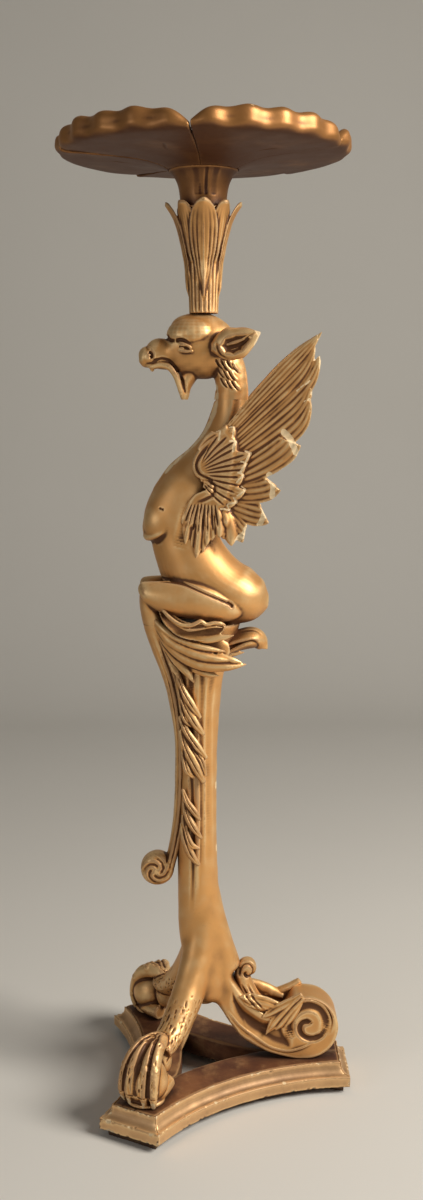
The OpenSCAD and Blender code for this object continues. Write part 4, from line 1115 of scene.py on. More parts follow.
# Long feathers: root x, z, tip x, z, half width, bow and how far they stand out
PRIMARIES = [
    (8, 196, 130.5, 322.5, 9.0, 2, 3.6), (12, 190, 128.5, 303, 11.0, 0, 2.4),
    (16, 184, 134, 291.5, 12.0, -3, 1.3), (18, 178, 124, 263.5, 12.5, -4, 0.4),
    (18, 170, 123, 243.5, 13.0, -6, -0.4), (18, 160, 99.5, 207, 15.0, -6, 1.2),
    (14, 152, 79, 158.5, 14.0, -4, 0.6), (12, 142, 69, 124, 13.0, -2, 0.0),
    (12, 136, 45, 101, 10.5, 1, 0.6),
]
COVERTS = [
    (-4, 196, 22, 214, 9.0, 2, 5.0), (-5, 190, 37, 217, 10.0, 3, 4.4), (-5, 182, 38, 201, 10.5, 2, 5.6),
    (-5, 176, 53, 188, 10.5, 2, 4.8), (-4, 170, 48, 177, 10.0, 1, 5.4), (-3, 166, 44, 164, 10.0, 0, 4.6),
    (0, 160, 45, 148, 9.5, -1, 5.2), (4, 156, 34, 136, 8.5, -1, 4.6), (6, 152, 25, 129, 7.5, -1, 4.2),
]
LOWER = [
    (-18, 136, -24, 115, 3.6, 0, 5.4), (-15, 138, -22, 101, 4.2, -1, 4.4),
    (-10, 140, -20.5, 91.5, 4.0, -1, 6.0), (-6, 141, -14, 85.5, 4.2, 0, 4.6),
    (-3, 142, -8.5, 75.5, 4.8, 1, 6.4), (1, 141, -1, 83, 4.4, 1, 5.0), (5, 141, 3.5, 91, 4.4, 1, 6.0),
    (9, 140, 9.5, 97, 4.8, 1, 4.6), (14, 140, 18, 100, 5.4, 1, 5.6), (18, 140, 26, 112, 5.6, 1, 4.0),
    (-12, 140, -16, 112, 3.4, 0, 7.2), (-4, 141, -5, 108, 3.6, 0, 7.4), (3, 141, 5, 112, 3.6, 0, 7.0),
    (12, 141, 18, 118, 4.2, 1, 6.4), (21, 138, 31, 91, 8.0, 2, 2.6), (14, 138, 22, 99, 7.0, 2, 2.0),
]


def feather(row, side, ribs, crown, thick=3.4, skew=0.0, snapped=False):
    """One feather, flat in X and Z, that faces the wing's outer side. Its point leans to its upper edge
    with the skew, and a snapped one has lost its point."""
    x0, z0, x1, z1, half, bow, out = row
    along = np.array([x1 - x0, z1 - z0], float)
    length = np.linalg.norm(along)
    along /= length
    across = np.array([-along[1], along[0]])
    shares = [(0.0, 0.45), (0.2, 0.66), (0.45, 0.9), (0.68, 1.0)]
    shares += [(0.84, 1.0), (0.93, 0.9), (0.96, 0.8)] if snapped else [
        (0.82, 0.86), (0.93, 0.46), (1.0, 0.06)]
    rows = []
    for share, wide in shares:
        middle = np.array([x0, z0]) + along * length * share + across * bow * 4 * share * (1 - share)
        middle += across * half * (1 - wide) * skew * share
        rows.append((middle[0], side * (out + 1.2 * share ** 4), SEAT_Z + middle[1], half * wide))
    return leaf(rows, (0.0, side, 0.0), ribs=ribs, rib=bpy.context.scene.stand_sizes.barb_depth,
                crown=crown, thick=thick, steps=8, across=33)


def side_stroke(carving, points, side, width, depth, **rest):
    """A stroke on one side of a flat form that lies around the XZ plane."""
    carving.co[:, 1] += side * 40.0
    carving.stroke(points, width, depth, side=side, **rest)
    carving.co[:, 1] -= side * 40.0


# Long feathers that have lost their points, counted from the top
SNAPPED = (5, 6, 7, 8)


def wing(side, name):
    """A raised wing: long ribbed feathers, a fan of short ones, hanging ones and a thick front edge."""
    parts = []
    for k, row in enumerate(PRIMARIES):
        parts.append(feather(row, side, 4, 1.2, 3.8, skew=0.2 if k == 0 else 0.95, snapped=k in SNAPPED))
    for row in COVERTS:
        parts.append(feather(row, side, 3, 1.8, skew=0.7))
    for row in LOWER:
        parts.append(feather(row, side, 1, 2.4))
    # Thick body of the wing, whose front edge swings in an S over the shoulder and the hanging feathers
    edge = [(25, 225), (13.4, 216), (0, 203), (-9, 193), (-13, 180), (-8.5, 168), (1.4, 162.5), (8.0, 157),
            (5.2, 149.5), (-6, 146.5), (-15.5, 142.6), (-21, 131), (-24.5, 118), (-20, 108), (-8, 112),
            (12, 122), (30, 140), (38, 165), (38, 195), (34, 215)]
    edge = fair([*edge, edge[0]], 5)[:-1]
    centre = np.array([12.0, 170.0])
    rings = []
    for y, inset in ((-5.0, 1.0), (-4.0, 0.0), (3.6, 0.0), (5.4, 0.8), (6.8, 3.0), (8.2, 9.0)):
        inward = unit(centre - edge) * inset
        rings.append([(x, side * y, SEAT_Z + z) for x, z in edge + inward])
    parts.append(loft(rings))
    carving = Carving(fused(parts, 0.88, 1), SEAT_Z)

    # Rounded ribs that fan over the shoulder
    for k, (x, z) in enumerate(((17, 213), (27, 212), (37, 208), (38, 200), (46, 192), (50, 184), (46, 176),
                                (44, 167), (42, 158), (40, 149), (32, 141), (24, 136))):
        start = np.array([-3.0, 181.0 - 1.6 * k])
        end = np.array([x, z], float)
        line = [start, start + (end - start) * 0.5 + np.array([0.0, 2.6 - 0.4 * k]), end]
        side_stroke(carving, line, side, 1.7, 1.3, ends=(0.3, 0.2))
    # Groove inside the front edge
    rim = [(14, 209), (2, 197), (-5, 189), (-8, 180), (-4, 171), (6, 165.5), (12.5, 158), (11, 149),
           (2, 143), (-9, 139)]
    side_stroke(carving, rim, side, 3.0, 1.8, ends=(0.2, 0.2))
    # Small hanging feathers are parted by deep cuts
    for k, (x, z) in enumerate(((-20, 118), (-16, 112), (-11.5, 108), (-6, 104), (-1, 104), (5, 106),
                                (11, 108), (17, 112))):
        start = (-12 + 3.6 * k, 140 - 0.4 * abs(k - 3))
        side_stroke(carving, [start, ((start[0] + x) / 2 - 0.6, (start[1] + z) / 2), (x, z)], side, 1.5, 1.5,
                    ends=(0.25, 0.2))
    # Points and broken ends are chipped down to the ground
    for k, (x0, z0, x1, z1, half, _, out) in enumerate(PRIMARIES):
        along = unit(np.array([x1 - x0, z1 - z0], float))
        across = np.array([-along[1], along[0]])
        tip = np.array([x1, z1], float)

        def at(back, lift, tip=tip, along=along, across=across, half=half, out=out):
            x, z = tip - along * back + across * half * lift
            return (x, side * (out + 0.6), z)

        if k in SNAPPED:
            carving.stroke([at(5, 0.9), at(2.5, 0.2), at(4, -0.8)], 4.6, 0.3, ends=(0, 0), chip=1.2)
        else:
            carving.stroke([at(20, 0.92), at(10, 0.95), at(1, 0.9)], 2.6, 0.2, ends=(0.1, 0.0), chip=1.1)
            carving.stroke([at(10, -0.2), at(5, 0.4), at(1, 0.85)], 1.8, 0.2, ends=(0.2, 0.0), chip=1.0)
    for x0, z0, x1, z1, half, *_ in COVERTS:
        along = unit(np.array([x1 - x0, z1 - z0], float))
        across = np.array([-along[1], along[0]])
        tip = np.array([x1, z1], float)
        end = [tip - along * 8 - across * half * 0.4, tip - along * 3 + across * half * 0.2,
               tip + across * half * 0.6, tip - along * 7 + across * half * 0.95]
        side_stroke(carving, end, side, 1.8, 0.1, ends=(0.1, 0.1), chip=0.85)
    carving.settle()
    carving.co[:, 0] -= WING_ROOT_X
    carving.co = turned(carving.co, side * WING_SPLAY)
    carving.co[:, 0] += WING_ROOT_X
    carving.co[:, 1] += side * WING_ROOT_Y
    carving.wobble(0.2, 20.0, 14)
    publish(name, carving.finished(4, 45), feather_gilt(), "carved_gilt", name)


# Leaves under the beast

# Curling leaves at the knee: rows of x, y, height above the seat and half width; then the size of their
# ribs, their crown, their thickness and their points across
SKIRT_LEAVES = [
    # The upper leaf, cupped under its lips
    ([(-52, 29, 26, 1.5), (-42, 35, 12, 7), (-29, 39, 1, 9), (-14, 41, -4, 9.5), (2, 41, -4, 9),
      (14, 40, -2, 6.5), (23, 39, 2, 1.5)], 0.1, -3.0, 7, 31),
    # The long leaf that sweeps across the column, in broad strands
    ([(-57, 24, 8, 2), (-47, 30, -2, 4.5), (-34, 34, -11, 5.5), (-18, 37.5, -18, 5.2),
      (-2, 39, -22.5, 4.4), (12, 39, -25, 2.6), (24, 38, -27, 0.8)], 0.3, 3.2, 7, 31),
    ([(-56, 24, 3, 2), (-46, 30, -8, 5.0), (-33, 35, -19, 6.4), (-17, 38.5, -27, 6.6),
      (0, 40.5, -32.5, 6.0), (17, 40.5, -35.5, 4.4), (32, 39.5, -37, 1.2)], 0.3, 3.2, 7, 31),
    ([(-54, 23, -3, 2), (-44, 29, -16, 5.0), (-31, 34.5, -28, 6.2), (-15, 38, -37.5, 6.6),
      (3, 40, -43, 6.4), (21, 40, -44, 5.4), (35, 39, -43.4, 3.4), (47, 37, -41.5, 0.8)], 0.3, 3.2, 7, 31),
    ([(14, 38, -30, 3), (24, 39, -34.5, 4.2), (33, 39, -37.5, 3.8),
      (42, 38, -39.5, 0.8)], 0.3, 2.2, 6, 25),
    # Leaves under it, along the strap
    ([(-52, 22, -8, 1.5), (-42, 27, -24, 4.6), (-31, 31, -37, 6.4), (-21, 33, -49, 5.6),
      (-12, 33, -64, 0.6)], 0.5, 2.8, 6, 31),
    ([(-48, 20, -22, 1.5), (-40, 24, -36, 3.8), (-34, 26, -49, 4.2),
      (-28, 27, -61, 0.6)], 0.6, 2.0, 5, 25),
    ([(-22, 31, -42, 3), (-7, 33.5, -49, 5), (6, 34, -53.5, 4.2), (17, 33, -56, 0.6)], 0.5, 2.2, 5, 25),
    ([(-12, 39, -11, 3), (2, 41, -13, 4.0), (18, 41, -11, 3.8), (33, 40, -8, 0.8)], 0.5, 1.6, 5, 25),
    # Backing that seats them on the column
    ([(-50, 18, 0, 5), (-36, 26, -20, 13), (-14, 30, -26, 19), (14, 31, -26, 16),
      (28, 28, -24, 6)], 0.1, 1.0, 8, 25),
]
# Rippled lips along the upper leaf: x, y, height above the seat, radius
SKIRT_LIPS = [
    [(-51, 31, 28, 1.2), (-46, 38, 20, 1.9), (-38, 42.5, 12, 2.1), (-27, 45, 5.0, 2.2),
     (-16, 46, 4.0, 2.3), (-8, 46, 7.0, 2.5), (-4, 45.5, 8.6, 2.4), (2, 45.5, 5, 2.4), (10, 45, 6.5, 2.3),
     (18, 44, 6, 2.0), (24, 42.5, 3, 1.0)],
    [(-49, 31, 22, 0.9), (-41, 39, 12.6, 1.5), (-31, 43, 4.6, 1.6), (-20, 44.6, -1.0, 1.6),
     (-10, 45, -1.0, 1.6), (0, 44.6, 0.6, 1.5), (10, 44, 2, 1.4), (20, 42.5, 1, 0.8)],
]


def skirt_leaves(side, name):
    """Curling leaves that spring from the knee and wrap the top of the column."""

    def blade(rows, rib, crown, thick, across):
        return leaf(on_side(side, rows), (0.05, side, 0.15), ribs=1, rib=rib, crown=crown, thick=thick,
                    across=across)

    parts = [blade(*SKIRT_LEAVES[0])]
    parts += [tube(on_side(side, rows), up=(0, 1, 0.01)) for rows in SKIRT_LIPS]
    parts += [blade(*row) for row in SKIRT_LEAVES[1:]]
    carving = Carving(fused(parts, 0.85, 2))
    carving.wobble(0.2, 14.0, 17)
    publish(name, carving.finished(4, 40), carved_gilt(), "carved_gilt", name)


def tail_leaf():
    """The leaf that curls out and down behind the rump, its edges drooping."""
    blade = in_middle(SEAT_Z, [(20, -26, 17), (31, -21, 20), (42, -17.5, 21), (52, -15.5, 20.5),
                               (58.5, -17, 18.5), (62, -22, 14), (62.5, -28, 8), (61.5, -31, 3)])
    lining = in_middle(SEAT_Z, [(16, -38, 10), (30, -30, 14), (42, -23, 14), (54, -19, 9)])
    core = in_middle(SEAT_Z, [(24, -33, 8, 16, 60), (38, -26, 9, 18, 65), (50, -21.5, 9.5, 18, 75),
                              (59, -20.5, 8, 15, 90), (64, -21, 4, 9, 95)])
    parts = [leaf(blade, (0.3, 0, 1), ribs=2, rib=0.5, crown=10.0, thick=8.0, bent=0.8, across=45),
             leaf(lining, (-0.45, 0, -1), ribs=1, rib=0.2, crown=1.5, thick=9, across=33),
             ball((22, 0, SEAT_Z - 22), (15, 18, 12)), limb(core)]
    carving = Carving(fused(parts, 0.85, 3), SEAT_Z)
    for y in (-10, 10):
        carving.stroke([(32, y, -12), (46, y, -8), (58, y, -7), (67, y, -14)], 3.0, 0.7)
    carving.wobble(0.2, 14.0, 18)
    publish("tail_leaf", carving.finished(4, 40), carved_gilt(), "carved_gilt", "tail_leaf")


# Column, strap and sprays

# Leaves of the sprays: x and height above the floor of four points from root to tip, and the half width
SPRAY_LEAVES = [
    [(-32, 507), (-27, 486), (-16, 466), (-5, 450), 4.6],
    [(-32, 492), (-25, 468), (-13, 446), (-1, 430), 5.0],
    [(-30, 474), (-26, 458), (-22, 448), (-15, 440), 2.8],
    [(-29, 452), (-21, 434), (-11, 419), (2, 403), 4.8],
    [(-28, 436), (-23, 416), (-12, 394), (-1, 374), 5.4],
    [(-27, 420), (-24, 402), (-20, 388), (-12, 380), 3.4],
    [(-22, 428), (-12, 412), (-4, 400), (1, 382), 3.2],
    [(-26, 366), (-21, 352), (-13, 341), (-6, 330), 3.8],
    [(-25, 352), (-21, 336), (-14, 322), (-4, 308), 4.2],
    [(-26, 336), (-23, 318), (-17, 302), (-6, 296), 3.6],
    [(-27, 326), (-24, 308), (-17, 290), (-7, 276), 4.6],
]
# How far out the four points of a leaf lie, and their share of its half width
SPRAY_OUT = (22.5, 26.4, 28.6, 27.0)
SPRAY_WIDE = (0.45, 0.85, 1.0, 0.42)
# Height of the fork in the drawing of the sprays
DRAWN_FORK = 100.0


def leaf_spray(side, name):
    """Sprays of narrow leaves that grow from the strap over the side of the column."""
    parts = []
    for *line, half in SPRAY_LEAVES:
        rows = [(x, side * o, FORK_Z + h - DRAWN_FORK, 1.15 * half * w)
                for (x, h), o, w in zip(line, SPRAY_OUT, SPRAY_WIDE)]
        parts.append(leaf(rows, (-0.45, side, 0.0), ribs=1, rib=0.3, crown=3.2, thick=6.0, across=29))
    carving = Carving(fused(parts, 0.8, 1))
    for *line, half in SPRAY_LEAVES:
        groove = [(x + 0.8, FORK_Z + h - DRAWN_FORK) for x, h in line]
        carving.stroke(groove, 1.5, 1.2, side=side, ends=(0.2, 0.35))
    carving.wobble(0.15, 12.0, 19)
    publish(name, carving.finished(4, 30), carved_gilt(), "carved_gilt", name)


CURL_X, CURL_RISE, CURL_R = -56.0, 165.0, 20.0


def front_scroll():
    """The strap below the knees, which ends in a snail-like curl."""
    curl_z = FORK_Z + CURL_RISE
    half = SCROLL_W * 0.4
    rows = strap_rows()
    parts = [limb(rows, sides=40, power=STRAP_POWER)]
    # Domed whorls of the curl
    parts.append(domed_roll(CURL_X, curl_z, CURL_R - 0.4, half + 4.5, 0.5, 64, 16))
    carving = Carving(fused(parts, 0.85, 3))

    def spiral(start, r0, r1, turns, n=22):
        line = []
        for k in range(n + 1):
            a = math.radians(start - 360 * turns * k / n)
            r = r0 + (r1 - r0) * k / n
            line.append((CURL_X - 1 + r * math.cos(a), curl_z + r * math.sin(a)))
        return line

    for start in (20, 110, 200, 290):
        carving.both(spiral(start, 17.0, 3.0, 0.42), 3.0, 1.6, ends=(0.25, 0.15), sharp=1.2)
    # Twin lines along the sides of the strap
    base = [(x, FORK_Z + z) for x, z in ((-38, 166), (-33, 186), (-27, 215), (-23, 251), (-22, 314),
                                         (-25, 350), (-32, 389), (-42, 420), (-52, 448))]
    carving.both([(x - 3.5, z) for x, z in base], 2.2, 1.8, ends=(0.05, 0.2))
    carving.both([(x - 9.5, z) for x, z in base], 1.8, 1.0, ends=(0.05, 0.3))
    carving.settle()
    # Hollow down the front of the strap
    carving.stroke([(x - t, 0, FORK_Z + z) for x, z, t, _, _ in STRAP[1:-2]], 6.5, 1.6, sharp=1.6)
    carving.wobble(0.2, 18.0, 20)
    part = kept_part(carving.finished(7, 83), [((0, 0, SEAT_Z), (0, 0, 1))])
    publish("front_scroll", part, carved_gilt(), "carved_gilt", "front_scroll")


# How far out the ball under a paw and its ankle are
FOOT_U = 134.0
ANKLE_U = FOOT_U - 36.0
ROLL_X, ROLL_R, BALL_R = 119.0, 38.0, 25.0
VOLUTE_HALF = 22.0
TOE_TURNS = (-21.0, -10.0, 10.0, 21.0)
FUR_CUTS = 230
TOE_LOCKS = 16
# Rows of a toe, from the ankle out and from the ball's centre up: x, z, half thickness, half width, lean
TOE = [
    (-8, 26, 8, 7.5, -56), (8, 33, 9.5, 7.8, -72), (24, 33.5, 9.5, 7.4, -90), (39, 27, 9, 6.8, -118),
    (48.5, 15, 8.4, 6.2, -146), (53, 3, 7.4, 5.6, -168), (54.5, -7, 6.6, 5.2, -180),
    (54, -15, 5.0, 4.2, -186), (53, -20, 3.2, 3.2, -190), (52.5, -24, 1.4, 2.0, -192),
]
# Rows of the shank, from the middle out and from the plinth up
SHANK = [
    (106, 47, 12, 16, 60), (92, 50, 13.5, 16, 54), (76, 57, 15.5, 17, 46), (60, 70, 17.5, 18, 42),
    (43, 87, 19.5, 19, 36), (27, 110, 19.5, 19, 28), (14, 138, 18, 18, 16), (5, 172, 15, 16, 6),
    (1, 210, 12, 14, 0),
]
# Column and legs are one flowing form; it is parted at this height above the fork and between the legs
LEG_TOP = 62.0


def volute_outline():
    """Outline of the volute leg's side, x and z."""
    roll_z = PLINTH_Z + ROLL_R
    top = above(PLINTH_Z, [(0, 200), (8, 185), (12.5, 165), (15.5, 145), (19.5, 126), (25.5, 109),
                           (33, 95.6), (45, 79.6), (59, 65.6), (71, 56.6), (81, 54), (94, 58)])
    top = fair(top + [(ROLL_X - 13, roll_z + 36), (ROLL_X, roll_z + ROLL_R)], 6)
    roll = [(ROLL_X + ROLL_R * math.cos(math.radians(a)), roll_z + ROLL_R * math.sin(math.radians(a)))
            for a in range(85, -86, -5)]
    low = above(PLINTH_Z, [(79, 7), (69, 11), (55, 18.6), (40, 30), (30, 43), (20, 58.6), (11, 70), (0, 76)])
    low = fair([(ROLL_X, roll_z - ROLL_R), (ROLL_X - 15, roll_z - 37.4)] + low, 6)
    return np.concatenate([top, roll, low])


def volute_block():
    """The volute leg as a slab with rounded borders, which narrows into the column."""
    outline = volute_outline()
    centre = np.array([62.0, PLINTH_Z + 50.0])
    narrow = 1 - 0.42 * np.clip((outline[:, 1] - PLINTH_Z - 100) / 80, 0, 1)
    rings = []
    for y, inset in ((-VOLUTE_HALF, 2.2), (-VOLUTE_HALF + 0.8, 1.0), (-VOLUTE_HALF + 2.4, 0.2),
                     (VOLUTE_HALF - 2.4, 0.2), (VOLUTE_HALF - 0.8, 1.0), (VOLUTE_HALF, 2.2)):
        moved = outline + unit(centre - outline) * inset
        rings.append([(x, y * n, z) for (x, z), n in zip(moved, narrow)])
    return loft(rings)


def paw_parts(corner):
    """Shank, ball and four furred toes of a paw leg, turned to its corner."""
    rings = [oval_rings(in_middle(PLINTH_Z, SHANK))]
    ball_z = PLINTH_Z + BALL_R
    for turn in TOE_TURNS:
        toe = oval_rings(in_middle(ball_z, TOE), sides=28)
        toe = turned(toe, turn)
        toe[..., 0] += ANKLE_U
        rings.append(toe)
        # Knuckles
        for reach, rise, size in ((27, 38, 7.6), (49, 20, 6.8), (54, -2, 6.0)):
            a = math.radians(turn)
            at = turned([ANKLE_U + reach * math.cos(a), reach * math.sin(a), 0], corner)
            yield ball((at[0], at[1], ball_z + rise - 1.5), (size, size, size * 0.85))
    for ring in rings:
        yield loft(turned(ring, corner))
    # Fur of the heel, and the lock that hangs behind the ankle
    heel = turned([ANKLE_U + 2, 0, 0], corner)
    yield ball((heel[0], heel[1], PLINTH_Z + 34), (12, 12, 18))
    inner = -math.copysign(1.0, corner)
    lock = [(34, 11, 82, 6.5), (44, 10, 72, 7.0), (51, 7, 60, 6.2), (57, 4.5, 46, 5.0), (61, 3, 33, 2.6),
            (62, 2.5, 27, 0.8)]
    path = turned([[u, inner * v, PLINTH_Z + z] for u, v, z, _ in lock], corner)
    yield tube([(*p, row[3]) for p, row in zip(path, lock)])
    # Ball under the paw, on its seat
    under = turned([FOOT_U, 0, 0], corner)
    yield ball((under[0], under[1], ball_z), (BALL_R, BALL_R, BALL_R), 48)
    yield ball((under[0], under[1], PLINTH_Z + 2.6), (22, 22, 4.6))
    # Heel pad beside the ball, over the foot screw
    pad_at = turned([[FOOT_U - 34, 8, PLINTH_Z + 10], [FOOT_U - 16, 11, PLINTH_Z + 9],
                     [FOOT_U - 2, 12, PLINTH_Z + 7], [FOOT_U + 8, 10, PLINTH_Z + 5]], corner)
    yield tube([(*p, r) for p, r in zip(pad_at, (9, 9.5, 8, 4))])


def furrow(carving, corner, u, v, z, length, slope, width, depth):
    """A short cut of fur on a leg: u outwards, v sideways, z up; it runs outwards and down."""
    start = np.array([u, v, z])
    end = start + np.array([length * math.cos(slope), v * 0.06, -length * math.sin(slope)])
    middle = (start + end) / 2 + np.array([0.8, 0, 0.8])
    carving.stroke(turned([start, middle, end], corner), width, depth, ends=(0.2, 0.5), sharp=1.2)


def carve_paw(carving, corner, seed):
    """Fur on the shank and the toes, and the clefts between the toes."""
    rng = np.random.default_rng(seed)
    depth = bpy.context.scene.stand_sizes.fur_depth
    ball_z = PLINTH_Z + BALL_R
    rows = fair(SHANK[:5], 10)
    for _ in range(FUR_CUTS):
        u, z, t, w, lean = rows[int(rng.uniform(0, 1) ** 1.4 * len(rows))]
        a = rng.uniform(-2.5, 2.5)
        lean = math.radians(lean)
        s = t * math.cos(a)
        place = (u + s * math.cos(lean), w * math.sin(a), PLINTH_Z + z + s * math.sin(lean))
        length = rng.uniform(6, 12)
        slope = math.radians(54 + rng.uniform(-16, 12))
        furrow(carving, corner, *place, length, slope, rng.uniform(1.4, 2.1), depth * rng.uniform(0.3, 0.6))

    def on_toe(x, v, z, turn):
        point = turned([x, v, ball_z + z], turn)
        point[0] += ANKLE_U
        return turned(point, corner)

    for turn in TOE_TURNS:
        # Locks of fur along the toe
        for _ in range(TOE_LOCKS):
            i = rng.uniform(0, 5.4)
            x, z, t, w, lean = TOE[int(i)] + (np.array(TOE[int(i) + 1]) - TOE[int(i)]) * (i % 1)
            lean_r = math.radians(lean)
            v = rng.uniform(-0.8, 0.8) * w
            start = (x - t * math.cos(lean_r), z - t * math.sin(lean_r))
            run = rng.uniform(7, 12)
            end = (start[0] + run * -math.sin(lean_r), start[1] + run * math.cos(lean_r))
            if end[1] > start[1] and x > 30:
                end = (2 * start[0] - end[0], 2 * start[1] - end[1])
            carving.stroke([on_toe(*p, turn) for p in ((start[0], v, start[1]), (end[0], v * 1.1, end[1]))],
                           1.4, depth * 0.8, ends=(0.2, 0.4), sharp=1.1)
        # Claw set off from the toe by a fold, and rubbed pale
        fold = [on_toe(61.5 - abs(v) * 0.5, v, -11, turn) for v in (-6, 0, 6)]
        carving.stroke(fold, 1.8, 1.6, ends=(0, 0), sharp=1.1)
        carving.stroke([on_toe(58, 0, -17, turn), on_toe(56, 0, -22, turn)], 4.0, 0.1, ends=(0, 0), chip=0.8)
    for turn, wide in ((-15.5, 2.6), (0.0, 4.4), (15.5, 2.6)):
        # Clefts between the toes
        line = [on_toe(x, 0, z, turn) for x, z in
                ((2, 38), (16, 43), (34, 39), (47, 29), (55, 16), (59, 4), (59, -8))]
        carving.stroke(line, wide, 2.8, ends=(0.3, 0.0), sharp=1.1)


VOLUTE_LOBES = [
    # Upper leaf, whose points look left and down
    [(94, 62, 5), (82, 65, 7.5), (70, 69, 9), (59, 72, 9.5), (50, 75, 8.0), (43.5, 77.5, 3.6), (39, 79, 0.6)],
    [(80, 64, 4), (68, 65.5, 5.6), (58, 67, 4.4), (49, 67.0, 0.6)],
    # Lower leaf, whose ribs flow out of the roll's band
    [(108, 76, 4.0), (97, 69, 5.6), (84, 62, 6.4), (74, 56.5, 4.6), (65.5, 52.5, 0.6)],
    [(114, 80, 3.6), (103, 71, 6.0), (92, 59, 7.6), (81, 46, 6.4), (75, 38, 3.2), (70.5, 31.5, 0.6)],
    [(115, 76, 3.2), (105, 65, 5.0), (96, 54, 5.4), (88, 44, 4.0), (82, 37.5, 0.6)],
    [(112, 70, 3.0), (105, 59, 4.4), (99, 50, 4.0), (93.5, 41.0, 0.6)],
]


